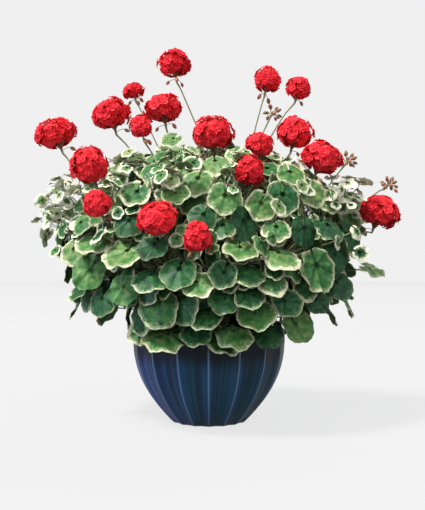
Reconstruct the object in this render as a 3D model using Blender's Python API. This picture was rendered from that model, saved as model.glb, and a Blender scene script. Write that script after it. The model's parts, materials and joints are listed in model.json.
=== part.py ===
"""A geranium in a fluted, glazed pot: the pot, its soil, the leafy stems and the flower heads.

Metres, +Z up. The origin is the centre of the pot's flat base, and the front faces -Y.
"""

import math
import random

import bmesh
import bpy
from mathutils import Vector
from mathutils.bvhtree import BVHTree

# Pieces that touch keep this gap
GAP = 0.0003
UP = Vector((0, 0, 1))
CM = 0.01

# Pot: widest just under the rim, curving in to its base ever faster
POT_RADIUS = 0.150
POT_HEIGHT = 0.180
WIDEST_HEIGHT = 0.160
BASE_RADIUS = 0.073
BOWL_CURVE = 2.2
POT_WALL = 0.010
POT_FLOOR = 0.010
POT_SIDES = 48
FLUTES = 16
FLUTE_DEPTH = 0.0040
FLUTE_TOP = 0.157
RIM_START = 0.166
RIM_ROUNDING = 0.003
OUTSIDE_HEIGHTS = (0, 0.014, 0.040, 0.080, 0.120, FLUTE_TOP, RIM_START)
INSIDE_HEIGHTS = (0.140, 0.085, 0.040, POT_FLOOR)
DRAIN_RADIUS = 0.015
DRAIN_SIDES = 16
# from the middle of the base towards the back
DRAIN_OFFSET = 0.034
# cutters stand out this far from what they cut
CUTTER_REACH = 0.005

# Soil
SOIL_HEIGHT = 0.155
SOIL_CROWN = 0.006
SOIL_SIDES = 24
STEM_DEPTH = 0.030

# Stems: each grows from the soil, upright at first, then leaning out
STEM_FOOT_RADIUS = 0.0055
STEM_TIP_RADIUS = 0.0032
STEM_SIDES = 6
STEM_SEGMENTS = 4
# straight up for this share of its height
STEM_UPRIGHT = 0.6
# count, first angle in degrees, distance of the foot and of the tip from the pot's axis, height of the tip
STEM_RINGS = (
    (4, 40, 0.034, 0.075, 0.420),
    (8, 15, 0.085, 0.165, 0.330),
)

# Leaf stalks and flower stalks
LEAF_STALK_RADIUS = 0.0013
FLOWER_STALK_RADIUS = 0.0014
STALK_SIDES = 3
LEAF_STALK = 0.075
FLOWER_STALK = 0.200
# stalks leave a stem at places of their own, evenly between these shares of its way, from below if they can
ROOTS_PER_STEM = 24
ROOT_SPAN = (0.10, 0.98)
MOST_ROOTS = 24
ROOT_DROP = 0.010
HIGH_ROOT_FAULT = 0.6
# a stalk bends this share of its way along, drawn back and bowed up or down there by shares of its length
BEND_AT = 0.55
BEND_BACK = 0.22
STALK_BOWS = (0.12, 0.0, 0.28, -0.12)
# a stalk comes in from below: the least cosine between its end and the direction of what it carries
LEAST_ARRIVAL = 0.3
LEAF_ATTEMPTS = 80
CROWN_RADIUS = 0.0026
SPOKE_RADIUS = 0.0008
SPOKE_ROOT = 0.002
FAN_START = 0.005
BUD_RADIUS = 0.0027
BUD_LENGTH = 0.009
# a bud on its short stalk, as shares of the bud's length and radius
BUD_PROFILE = ((0, 0.3), (0.8, 0.3), (1.3, 1.0), (2.0, 0.3))
BUD_SPREAD = 0.9

# Leaf blades: thickness at the edge and at the stalk, and the outline as shares of the radius
BLADE_EDGE = 0.0008
BLADE_HUB = 0.0028
LARGE_LEAF = 0.078
MANY_LOBES = 7
FEW_LOBES = 5
NOTCH_SHARE = 0.87
HUB_SHIFT = 0.25
CLEFT_SHARE = 0.12
# how far the edge is lifted, and how far its lobes and notches are pleated
CUPS = (-0.25, 0.20)
PLEATS = (0.05, 0.11)
SWELLING = 0.0014

# Flower heads: how far they reach at each kind of point, as shares of their radius
PETALS = 5
TIP_REACH = 1.0
NOTCH_REACH = 0.88
CENTRE_REACH = 0.82
GROOVE_REACH = 0.70
BASE_REACH = 0.51
BASE_ANGLE = math.radians(150)
BASE_SIDES = 8
PETAL_JITTER = 0.02
# notches sit this share as far from a floret's middle as petal tips do
NOTCH_AWAY = 0.72
LEAST_FLORETS = 3
FLORETS_PER_METRE = 75
# florets sit out to this angle from the head's axis, and fill this share of their room
FLORET_SPAN = math.radians(108)
FLORET_FILL = 1.05
# the lowest petals hang this share of the rise below the middle
HEAD_DROOP = 0.65
# from the base down to where the flower's stalk splits, and how far its spokes spread, as shares of the width
CROWN_DROP = 0.20
SPOKE_SPREAD = 0.09
SPOKES = 3
BUDS_PER_SPRAY = 4
# heads lean outwards, most of all those in front of the mound
HEAD_LEAN = 0.35
FACE_LEAN = 0.5
FACE_STARTS_AT = -0.12

# The mound of leaves is an egg round the pot's axis
MOUND_WIDTH = 0.285
MOUND_DEPTH = 0.260
MOUND_MIDDLE = 0.310
MOUND_RISE = 0.225
MOUND_FALL = 0.200

# Flower heads of the front in centimetres: x, y, z, width, height
FRONT_HEADS = (
    (-30.3, -2, 57.0, 8.5, 5.7), (-22.4, -10, 49.7, 7.5, 7.2), (-19.7, 0, 61.2, 8.6, 6.0),
    (-16.0, 8, 67.4, 4.6, 2.7), (-9.4, 3, 63.0, 8.3, 5.7), (-13.0, -7, 57.3, 4.6, 4.2),
    (-7.2, 5, 72.5, 7.2, 5.4), (0.8, -3, 56.9, 8.6, 6.7), (12.2, 6, 69.4, 6.2, 5.2),
    (18.2, 2, 66.7, 5.4, 4.2), (17.3, 0, 57.4, 7.6, 6.4), (21.4, -8, 51.4, 8.7, 5.7),
    (9.9, -5, 54.2, 5.7, 4.7), (7.5, -14, 48.0, 5.8, 6.0), (-19.6, -19, 41.6, 5.3, 4.9),
    (-8.7, -25, 38.7, 7.3, 5.1), (-1.7, -28, 35.3, 5.0, 5.1), (33.6, -2, 41.5, 8.5, 6.1),
)
# Flower heads on the far side, below the mound's top
BACK_HEADS = (
    (-20, 17, 38, 7.8, 6.0), (-9, 24, 43, 8.2, 6.4), (3, 27, 35, 7.4, 6.0),
    (13, 22, 43, 8.0, 6.2), (24, 14, 36, 7.0, 5.6),
)
# Sprays of green buds: x, y, z
BUD_SPRAYS = ((27.5, 0, 51.4), (36.3, 3, 47.0), (12.9, 5, 61.8))

# Leaves of the front in centimetres, as far as they show from there: x, z, width, height
FRONT_LEAVES = (
    # over the rim
    (-7.6, 17.9, 7.4, 4.2), (2.7, 16.8, 7.0, 3.5), (-8.8, 23.2, 6.2, 6.6), (-12.6, 21.6, 2.8, 6.2),
    (-4.6, 23.2, 4.6, 5.8), (-0.4, 21.8, 5.6, 3.8), (4.6, 18.6, 6.3, 3.6), (8.2, 21.6, 6.2, 4.9),
    (16.0, 19.5, 5.4, 5.8), (2.6, 24.4, 4.8, 3.8), (6.9, 25.2, 5.0, 3.6),
    (-13.0, 18.6, 4.8, 4.2), (-2.2, 18.4, 5.0, 3.8), (10.6, 18.4, 5.0, 4.0),
    # lower middle
    (-1.7, 27.2, 5.2, 3.9), (2.4, 28.8, 4.6, 4.4), (-5.1, 29.3, 5.8, 4.8), (6.8, 29.4, 5.8, 3.8),
    (5.3, 33.0, 5.6, 3.8), (11.0, 27.8, 5.2, 4.0), (13.6, 23.8, 5.0, 4.2), (19.2, 29.7, 6.0, 7.3),
    (12.5, 32.3, 6.6, 2.9), (19.4, 24.0, 4.2, 4.0), (23.5, 26.8, 5.6, 4.8),
    # right
    (23.0, 31.8, 4.2, 5.0), (26.2, 35.9, 4.6, 6.0), (21.9, 37.4, 5.6, 3.8), (16.8, 36.4, 4.2, 5.2),
    (11.6, 36.6, 4.6, 3.8), (19.0, 43.6, 5.0, 5.0), (25.9, 43.8, 4.6, 4.8), (32.4, 29.7, 5.0, 3.0),
    (13.0, 42.3, 5.9, 5.8), (15.2, 47.4, 5.2, 3.8), (14.7, 51.4, 4.4, 3.4),
    (21.0, 47.4, 4.4, 3.6), (22.8, 42.6, 4.6, 4.4), (28.4, 40.0, 4.4, 4.6),
    # middle
    (2.8, 41.8, 5.5, 5.2), (5.8, 37.4, 3.8, 5.8), (8.8, 40.6, 4.8, 5.2), (1.2, 48.9, 5.3, 3.2),
    (-2.0, 45.2, 5.2, 4.4), (-5.6, 42.4, 4.6, 3.6), (-1.0, 38.6, 4.6, 4.0), (-2.4, 34.0, 6.2, 6.8),
    (-5.6, 51.6, 4.6, 3.4), (5.6, 51.2, 4.6, 3.4),
    # left
    (-12.9, 43.0, 5.4, 4.4), (-9.9, 47.6, 4.8, 3.5), (-15.8, 46.8, 4.4, 3.4), (-19.4, 49.0, 4.4, 3.2),
    (-7.5, 55.6, 4.0, 3.0), (-15.4, 52.0, 4.4, 3.2), (-29.4, 45.6, 4.2, 2.9), (-26.8, 41.6, 4.8, 4.0),
    (-31.0, 40.8, 3.8, 3.0), (-28.2, 36.6, 4.6, 3.4), (-22.0, 39.4, 5.6, 3.4), (-20.4, 34.6, 6.2, 3.7),
    (-14.4, 32.4, 7.4, 4.6), (-21.4, 29.2, 5.4, 5.8), (-19.1, 24.0, 4.4, 5.0), (-14.6, 26.2, 4.9, 4.9),
    (-10.0, 28.4, 6.0, 4.3), (-9.4, 33.4, 5.0, 3.8), (-14.0, 37.8, 4.8, 4.0), (-24.8, 33.0, 4.8, 5.0),
)
# neighbours hide a part of them
HIDDEN_SHARE = 1.16
# Leaves of the sides and back follow a spiral down the mound
BACK_LEAVES = 80
BACK_LEAF_SIZES = (0.070, 0.088)
BACK_STARTS_AT = -0.045
MOUND_SPAN = (0.200, 0.525)
GOLDEN_ANGLE = math.pi * (3 - math.sqrt(5))
LEAST_LEAN = math.radians(15)
MOST_LEAN = math.radians(62)
SEED = 11


# Small geometry helpers


def radial(point):
    """The horizontal direction from the pot's axis to the point."""
    return Vector((point.x, point.y, 0)).normalized()


def bezier(points, share):
    """The point of the Bezier curve of these control points, at this share of its way."""
    while len(points) > 1:
        points = [a.lerp(b, share) for a, b in zip(points, points[1:])]
    return points[0]


def sampled(points, segments):
    return [bezier(points, i / segments) for i in range(segments + 1)]


def taper(first, last, count):
    """Evenly spaced numbers from the first to the last."""
    return [first + (last - first) * i / (count - 1) for i in range(count)]


def tube(points, radii, sides):
    """A closed tube along the points, with a radius at each of them, as vertices and faces."""
    ways = [(b - a).normalized() for a, b in zip(points, points[1:])]
    tangents = [ways[0]] + [(a + b).normalized() for a, b in zip(ways, ways[1:])] + [ways[-1]]
    across = Vector((1, 0, 0))
    verts = []
    for point, radius, tangent in zip(points, radii, tangents):
        if abs(across.dot(tangent)) > 0.95:
            across = tangent.orthogonal()
        across = (across - tangent * across.dot(tangent)).normalized()
        other = tangent.cross(across)
        for i in range(sides):
            angle = 2 * math.pi * i / sides
            verts.append(point + radius * (math.cos(angle) * across + math.sin(angle) * other))
    faces = [tuple(reversed(range(sides)))]
    for ring in range(len(points) - 1):
        for i in range(sides):
            low, next_low = ring * sides + i, ring * sides + (i + 1) % sides
            faces.append((low, next_low, next_low + sides, low + sides))
    faces.append(tuple(range(len(verts) - sides, len(verts))))
    return verts, faces


def blade_outline(leaf, swelling):
    """The middle of the blade's edge: lobes and notches, pleated and cupped, with a cleft at the stalk."""
    radius = leaf["size"] / 2 + swelling
    side = leaf["normal"].cross(leaf["tip"])
    lobes = MANY_LOBES if leaf["size"] > LARGE_LEAF else FEW_LOBES
    outline = []
    for k in range(2 * lobes):
        angle = math.pi + k * math.pi / lobes
        is_lobe = k % 2 == 1
        reach = radius * (1 if is_lobe else NOTCH_SHARE)
        along = radius * HUB_SHIFT + reach * math.cos(angle)
        rise = radius * (leaf["cup"] + leaf["pleat"] * (-1 if is_lobe else 1))
        if k == 0:
            along, rise = -CLEFT_SHARE * radius, 0
        across = reach * math.sin(angle)
        outline.append(leaf["hub"] + along * leaf["tip"] + across * side + rise * leaf["normal"])
    return outline


def blade(leaf, swelling):
    """A leaf's blade alone, swollen, used to keep other things away."""
    outline = blade_outline(leaf, swelling)
    count = len(outline)
    lift = leaf["normal"] * (BLADE_EDGE + swelling) / 2
    hub_lift = leaf["normal"] * (BLADE_HUB + swelling) / 2
    verts = [p + lift for p in outline] + [p - lift for p in outline]
    verts += [leaf["hub"] + hub_lift, leaf["hub"] - hub_lift]
    faces = []
    for i in range(count):
        j = (i + 1) % count
        faces += [(2 * count, i, j), (2 * count + 1, count + j, count + i)]
        faces += [(i, count + i, count + j), (i, count + j, j)]
    return verts, faces


def leaf_solid(leaf):
    """A leaf as one closed shape of triangles: its blade, alike on both faces, and its three-sided stalk."""
    outline = blade_outline(leaf, 0)
    count = len(outline)
    lift = leaf["normal"] * BLADE_EDGE / 2
    hub_lift = leaf["normal"] * BLADE_HUB / 2
    stalk, stalk_faces = tube(leaf["stalk"], [LEAF_STALK_RADIUS] * len(leaf["stalk"]), STALK_SIDES)
    first = 2 * count + 1
    verts = [p + lift for p in outline] + [p - lift for p in outline] + [leaf["hub"] + hub_lift] + stalk
    faces = [tuple(first + i for i in face) for face in stalk_faces[:-1]]
    crown = [first + len(stalk) - STALK_SIDES + i for i in range(STALK_SIDES)]
    nearest = [min(crown, key=lambda c: (verts[c] - verts[count + i]).length) for i in range(count)]
    for i in range(count):
        j = (i + 1) % count
        faces += [(2 * count, i, j), (nearest[i], count + j, count + i)]
        faces += [(i, count + i, count + j), (i, count + j, j)]
        if nearest[i] != nearest[j]:
            faces.append((nearest[i], nearest[j], count + j))
    return verts, faces


def ball(centre, axis, radius, rise):
    """A low-sided ball round an axis, a little hollow below, only used to keep other things away."""
    levels = ((-0.60, 0.80), (-0.20, 1.05), (0.40, 0.98), (0.90, 0.50))
    points = [centre + axis * rise * level for level, share in levels]
    return tube(points, [radius * share for level, share in levels], 8)


# What grows where: nothing new crosses what is already there


class Thicket:
    """The pieces placed so far, a little swollen, with the stem that each belongs to."""

    def __init__(self):
        self.pieces = []

    def add(self, owner, kind, shape):
        self.pieces.append((owner, kind, *self.surrounds(shape), BVHTree.FromPolygons(*shape)))

    def is_free(self, shape, owner=None, skipped=()):
        """Whether the shape crosses no piece, apart from the owner's own pieces of the skipped kinds."""
        middle, reach = self.surrounds(shape)
        tree = BVHTree.FromPolygons(*shape)
        for other, kind, centre, radius, other_tree in self.pieces:
            is_skipped = other == owner and kind in skipped
            is_near = (centre - middle).length < reach + radius
            if is_near and not is_skipped and tree.overlap(other_tree):
                return False
        return True

    def surrounds(self, shape):
        """The middle and the radius of a ball that holds the shape."""
        middle = sum(shape[0], Vector()) / len(shape[0])
        return middle, max((point - middle).length for point in shape[0])


def crosses(shape, other):
    return bool(BVHTree.FromPolygons(*shape).overlap(BVHTree.FromPolygons(*other)))


def swollen_stalk(points, radius):
    return tube(points, [radius + SWELLING / 2] * len(points), STALK_SIDES + 1)


def grow_stems(thicket):
    """Each stem's control points, from its foot at the soil to its tip."""
    stems = []
    for count, first, foot_distance, tip_distance, tip_height in STEM_RINGS:
        for i in range(count):
            angle = math.radians(first + 360 * i / count)
            outward = Vector((math.cos(angle), math.sin(angle), 0))
            foot = outward * foot_distance + UP * SOIL_HEIGHT
            tip = outward * tip_distance + UP * tip_height
            points = [foot, foot + UP * STEM_UPRIGHT * (tip_height - SOIL_HEIGHT), tip]
            stems.append({"points": points, "free": list(range(ROOTS_PER_STEM))})
            path = sampled(points, STEM_SEGMENTS)
            radii = [STEM_FOOT_RADIUS + SWELLING] * len(path)
            thicket.add(len(stems) - 1, "stem", tube(path, radii, STEM_SIDES))
    return stems


def roots_for(stems, end, length):
    """Free places on the stems to start a stalk of about this length to the end, the best ones first."""
    places = []
    for owner, stem in enumerate(stems):
        for slot in stem["free"]:
            root = bezier(stem["points"], taper(*ROOT_SPAN, ROOTS_PER_STEM)[slot])
            too_high = max(0, root.z - end.z + ROOT_DROP)
            fault = abs((end - root).length - length) + HIGH_ROOT_FAULT * too_high
            places.append((fault, owner, slot, root))
    places.sort(key=lambda place: place[:3])
    return places[:MOST_ROOTS]


def grow_stalk(thicket, stems, end, direction, length, radius, segments, own_blade=None):
    """A clear way from some stem to the end, where it arrives in this direction: the stem and the way."""
    for fault, owner, slot, root in roots_for(stems, end, length):
        reach = (end - root).length
        for bow in STALK_BOWS:
            bend = root.lerp(end, BEND_AT) - direction * BEND_BACK * reach + UP * bow * reach
            path = sampled([root, bend, end], segments)
            if (end - path[-2]).normalized().dot(direction) < LEAST_ARRIVAL:
                continue
            clear_end = path[-2].lerp(end, 0.8)
            if own_blade and crosses(swollen_stalk(path[:-1] + [clear_end], radius), own_blade):
                continue
            if thicket.is_free(swollen_stalk(path, radius), owner, ("stem", "stalk")):
                stems[owner]["free"].remove(slot)
                return owner, path
    return None


def head_of(numbers):
    """A flower head from its row of centimetres: its middle, axis, width, rise, and its stalk's crown."""
    x, y, z, width, height = [n * CM for n in numbers]
    middle = Vector((x, y, z))
    lean = min(1.0, 4 * abs(x) + 3 * abs(y)) * (FACE_LEAN if y < FACE_STARTS_AT else HEAD_LEAN)
    axis = (UP + radial(middle) * lean).normalized()
    rise = height / (1 + HEAD_DROOP)
    centre = middle - axis * rise * (1 - HEAD_DROOP) / 2
    base = centre + axis * rise * BASE_REACH * math.cos(BASE_ANGLE)
    crown = base - axis * CROWN_DROP * width
    return {"centre": centre, "axis": axis, "width": width, "rise": rise, "base": base, "crown": crown}


def grow_heads(thicket, stems):
    """Every flower head and every spray of buds, each with its stalk. Sprays have no rise."""
    heads = [head_of(row) for row in FRONT_HEADS + BACK_HEADS]
    for head in heads:
        thicket.add(None, "head", ball(head["centre"], head["axis"], head["width"] / 2, head["rise"]))
        fan_ends = [head["crown"] + head["axis"] * FAN_START, head["base"]]
        thicket.add(None, "head", tube(fan_ends, [2 * CROWN_RADIUS, 3 * CROWN_RADIUS], SPOKES + 1))
    sprays = []
    for x, y, z in BUD_SPRAYS:
        middle = Vector((x, y, z)) * CM
        axis = (UP + 0.5 * radial(middle)).normalized()
        sprays.append({"crown": middle, "axis": axis})
        thicket.add(None, "head", ball(middle + axis * 1.5 * BUD_LENGTH, axis, 2 * BUD_LENGTH, BUD_LENGTH))
    for bloom in heads + sprays:
        found = grow_stalk(thicket, stems, bloom["crown"], bloom["axis"], FLOWER_STALK, CROWN_RADIUS, 3)
        bloom["owner"], bloom["stalk"] = found
        thicket.add(bloom["owner"], "stalk", swollen_stalk(bloom["stalk"], CROWN_RADIUS))
    return heads, sprays


def mound_depth(x, z):
    """How far in front of the pot's axis the mound's surface is."""
    half_height = MOUND_RISE if z > MOUND_MIDDLE else MOUND_FALL
    left = 1 - (x / MOUND_WIDTH) ** 2 - ((z - MOUND_MIDDLE) / half_height) ** 2
    return MOUND_DEPTH * math.sqrt(max(0, left))


def front_place(row):
    """The middle, facing and size of a leaf seen from the front with this width and height."""
    x, z, width, height = [n * CM for n in row]
    middle = Vector((x, -mound_depth(x, z), z))
    lean = math.acos(min(1, height / width)) if width > height else 0
    turn = math.acos(min(1, width / height)) if height > width else 0.5 * abs(x) / MOUND_WIDTH
    lean = min(max(lean, LEAST_LEAN), MOST_LEAN)
    turn = math.copysign(min(turn, MOST_LEAN), x)
    facing = Vector((math.sin(turn) * math.cos(lean), -math.cos(turn) * math.cos(lean), math.sin(lean)))
    return middle, facing, max(width, height) * HIDDEN_SHARE


def back_places(rng):
    """The same for the leaves of the sides and back, on a spiral from the mound's top to its foot."""
    places = []
    for i in range(BACK_LEAVES):
        share = (i + 0.5) / BACK_LEAVES
        z = MOUND_SPAN[1] + (MOUND_SPAN[0] - MOUND_SPAN[1]) * share**0.9
        half_height = MOUND_RISE if z > MOUND_MIDDLE else MOUND_FALL
        reach = math.sqrt(max(0, 1 - ((z - MOUND_MIDDLE) / half_height) ** 2))
        angle = i * GOLDEN_ANGLE
        middle = Vector((MOUND_WIDTH * reach * math.cos(angle), MOUND_DEPTH * reach * math.sin(angle), z))
        size = rng.uniform(*BACK_LEAF_SIZES)
        if middle.y > BACK_STARTS_AT:
            facing = radial(middle) * (0.35 + 0.6 * reach) + UP * (0.75 - 0.3 * reach)
            places.append((middle, facing.normalized(), size))
    return places


def leaf_at(place, rng, slack):
    """A leaf at the place, moved and turned at random by the slack, from 0 to 1."""
    middle, facing, size = place
    size *= 1 - 0.25 * slack
    outward = radial(middle)
    push = rng.uniform(-0.045, 0.012) * slack
    shake = Vector([rng.uniform(-1, 1) for axis in range(3)])
    normal = (facing + shake * (0.12 + 0.45 * slack)).normalized()
    hanging = outward * 0.7 - UP
    tip = (hanging - normal * hanging.dot(normal)).normalized()
    spin = rng.uniform(-1, 1) * (0.5 + 0.8 * slack)
    tip = tip * math.cos(spin) + normal.cross(tip) * math.sin(spin)
    hub = middle + outward * push + shake * 0.008 * slack - tip * size / 8
    cup = rng.uniform(*CUPS)
    pleat = rng.uniform(*PLEATS)
    return {"hub": hub, "normal": normal, "tip": tip, "size": size, "cup": cup, "pleat": pleat}


def grow_leaves(thicket, stems, places, rng):
    """A leaf at each place where its blade and a stalk to some stem are clear of everything else."""
    leaves = []
    for place in places:
        for attempt in range(LEAF_ATTEMPTS):
            leaf = leaf_at(place, rng, attempt / LEAF_ATTEMPTS)
            shape = blade(leaf, SWELLING)
            if not thicket.is_free(shape):
                continue
            end = leaf["hub"] - leaf["normal"] * BLADE_HUB / 2
            found = grow_stalk(
                thicket, stems, end, leaf["normal"], LEAF_STALK, LEAF_STALK_RADIUS, 2, blade(leaf, 0)
            )
            if found:
                leaf["owner"], leaf["stalk"] = found
                thicket.add(leaf["owner"], "blade", shape)
                thicket.add(leaf["owner"], "stalk", swollen_stalk(leaf["stalk"], LEAF_STALK_RADIUS))
                leaves.append(leaf)
                break
    return leaves


# The solids


def new_object(name, shape, material):
    """A mesh object from vertices and faces, in a plain colour."""
    mesh = bpy.data.meshes.new(name)
    mesh.from_pydata([tuple(v) for v in shape[0]], [], shape[1])
    mesh.materials.append(material)
    obj = bpy.data.objects.new(name, mesh)
    bpy.context.scene.collection.objects.link(obj)
    return obj


def new_material(name, colour, roughness):
    material = bpy.data.materials.new(name)
    material.use_nodes = True
    shader = material.node_tree.nodes["Principled BSDF"]
    shader.inputs["Base Color"].default_value = (*colour, 1)
    shader.inputs["Roughness"].default_value = roughness
    shader.inputs["Metallic"].default_value = 0
    return material


def apply_boolean(obj, operation, others):
    """Joins the other objects to this one, or cuts them from it, and removes them."""
    group = bpy.data.collections.new("operands")
    for other in others:
        group.objects.link(other)
    modifier = obj.modifiers.new(operation.title(), "BOOLEAN")
    modifier.operation = operation
    modifier.operand_type = "COLLECTION"
    modifier.collection = group
    modifier.solver = "EXACT"
    graph = bpy.context.evaluated_depsgraph_get()
    result = bpy.data.meshes.new_from_object(obj.evaluated_get(graph))
    obj.modifiers.remove(modifier)
    obj.data = result
    for other in others:
        bpy.data.objects.remove(other)
    bpy.data.collections.remove(group)


def shade(obj, sharp_degrees=40):
    obj.data.shade_smooth()
    obj.data.set_sharp_from_angle(angle=math.radians(sharp_degrees))


def pot_radius(height):
    """The radius of the pot's outside, on its ridges."""
    drop = abs(WIDEST_HEIGHT - height) / WIDEST_HEIGHT
    return POT_RADIUS - (POT_RADIUS - BASE_RADIUS) * drop**BOWL_CURVE


def pot_rings():
    """The pot's rings as (radius, height, depth of the flutes), from under its base round to its floor."""
    rim_outer = pot_radius(POT_HEIGHT)
    rings = []
    for height in OUTSIDE_HEIGHTS:
        depth = FLUTE_DEPTH * pot_radius(height) / POT_RADIUS if height <= FLUTE_TOP else 0
        rings.append((pot_radius(height), height, depth))
    rings.append((rim_outer, POT_HEIGHT - RIM_ROUNDING, 0))
    rings.append((rim_outer - RIM_ROUNDING, POT_HEIGHT, 0))
    rings.append((rim_outer - POT_WALL + RIM_ROUNDING, POT_HEIGHT, 0))
    rings.append((rim_outer - POT_WALL, POT_HEIGHT - RIM_ROUNDING, 0))
    for height in INSIDE_HEIGHTS:
        rings.append((pot_radius(height) - POT_WALL, height, 0))
    return rings


def turned(rings, sides, flutes):
    """A closed turned shape from its rings, fluted between sharp ridges, one of which faces -Y."""
    verts = []
    for radius, height, depth in rings:
        for i in range(sides):
            across_flute = (i * flutes / sides) % 1
            reach = radius - depth * math.sin(math.pi * across_flute)
            angle = 2 * math.pi * i / sides - math.pi / 2
            verts.append(Vector((reach * math.cos(angle), reach * math.sin(angle), height)))
    faces = []
    for ring in range(len(rings) - 1):
        for i in range(sides):
            low, next_low = ring * sides + i, ring * sides + (i + 1) % sides
            faces.append((low, next_low, next_low + sides, low + sides))
    for ring, order in ((0, -1), (len(rings) - 1, 1)):
        centre = len(verts)
        verts.append(Vector((0, 0, rings[ring][1])))
        for i in range(sides):
            edge = (ring * sides + i, ring * sides + (i + 1) % sides)
            faces.append((*edge[::order], centre))
    return verts, faces


def pot_shape():
    return turned(pot_rings(), POT_SIDES, FLUTES)


def soil_shape():
    """The soil, from the pot's floor to its crown, clear of the wall by a little more than the gap."""
    rings = []
    for height in reversed(INSIDE_HEIGHTS[1:]):
        lift = 2 * GAP if height == POT_FLOOR else 0
        rings.append((pot_radius(height) - POT_WALL - 3 * GAP, height + lift, 0))
    top = pot_radius(SOIL_HEIGHT) - POT_WALL - 3 * GAP
    rings.append((top, SOIL_HEIGHT - SOIL_CROWN, 0))
    rings.append((0.6 * top, SOIL_HEIGHT, 0))
    return turned(rings, SOIL_SIDES, 1)


def make_pot(material):
    pot = new_object("pot", pot_shape(), material)
    foot = Vector((0, DRAIN_OFFSET, -CUTTER_REACH))
    ends = [foot, foot + UP * (POT_FLOOR + 2 * CUTTER_REACH)]
    hole = new_object("drain_hole", tube(ends, [DRAIN_RADIUS] * 2, DRAIN_SIDES), material)
    apply_boolean(pot, "DIFFERENCE", [hole])
    shade(pot, 15)


def make_soil(stems, material):
    soil = new_object("potting_soil", soil_shape(), material)
    holes = []
    for stem in stems:
        foot = stem["points"][0]
        ends = [foot - UP * STEM_DEPTH, foot + UP * CUTTER_REACH]
        radii = [STEM_FOOT_RADIUS + 1.5 * GAP] * 2
        holes.append(new_object("stem_hole", tube(ends, radii, STEM_SIDES), material))
    apply_boolean(soil, "DIFFERENCE", holes)
    shade(soil)


def spoke_shapes(head):
    """The short stalks that fan out from the flower's stalk to just under its flat base."""
    side = head["axis"].orthogonal().normalized()
    other = head["axis"].cross(side)
    under = head["base"] - head["axis"] * (GAP + 0.5 * SPOKE_RADIUS)
    root = head["crown"] - head["axis"] * SPOKE_ROOT
    shapes = []
    for i in range(SPOKES):
        angle = 2 * math.pi * (i + 0.5) / SPOKES
        outward = math.cos(angle) * side + math.sin(angle) * other
        ends = [root + outward * 1.4 * SPOKE_RADIUS, under + outward * SPOKE_SPREAD * head["width"]]
        shapes.append(tube(ends, [SPOKE_RADIUS] * 2, STALK_SIDES))
    return shapes


def bud_shapes(spray):
    """Closed buds on short stalks, fanning out from the end of their stalk."""
    side = spray["axis"].orthogonal().normalized()
    other = spray["axis"].cross(side)
    shapes = []
    for i in range(BUDS_PER_SPRAY):
        angle = 2 * math.pi * i / BUDS_PER_SPRAY
        outward = math.cos(angle) * side + math.sin(angle) * other
        direction = (spray["axis"] + BUD_SPREAD * outward).normalized()
        start = spray["crown"] - spray["axis"] * SPOKE_ROOT
        points = [start + direction * BUD_LENGTH * along for along, swell in BUD_PROFILE]
        radii = [BUD_RADIUS * swell for along, swell in BUD_PROFILE]
        shapes.append(tube(points, radii, STALK_SIDES + 1))
    return shapes


def make_leafy_stem(number, stem, leaves, heads, sprays, material):
    """A stem fused with its leaves, flower stalks and buds."""
    path = [stem["points"][0] - UP * (STEM_DEPTH - GAP)] + sampled(stem["points"], STEM_SEGMENTS)
    radii = [STEM_FOOT_RADIUS] + taper(STEM_FOOT_RADIUS, STEM_TIP_RADIUS, STEM_SEGMENTS + 1)
    obj = new_object(f"leafy_stem_{number + 1:02d}", tube(path, radii, STEM_SIDES), material)
    shapes = []
    for leaf in leaves:
        shapes.append(leaf_solid(leaf))
    for bloom in heads + sprays:
        neck = bloom["crown"] - bloom["axis"] * 4 * CROWN_RADIUS
        path = bloom["stalk"][:-1] + [neck, bloom["crown"]]
        radii = [FLOWER_STALK_RADIUS] * (len(path) - 1) + [CROWN_RADIUS]
        shapes.append(tube(path, radii, STALK_SIDES))
    for head in heads:
        shapes += spoke_shapes(head)
    for spray in sprays:
        shapes += bud_shapes(spray)
    apply_boolean(obj, "UNION", [new_object("growth", shape, material) for shape in shapes])
    shade(obj)


def hull_triangles(points):
    """The triangles of the convex hull of points that all lie on it, as triples of their numbers."""
    bm = bmesh.new()
    verts = [bm.verts.new(point) for point in points]
    bm.verts.index_update()
    bmesh.ops.convex_hull(bm, input=verts)
    bmesh.ops.recalc_face_normals(bm, faces=bm.faces)
    triangles = [tuple(v.index for v in face.verts) for face in bm.faces]
    bm.free()
    return triangles


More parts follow.
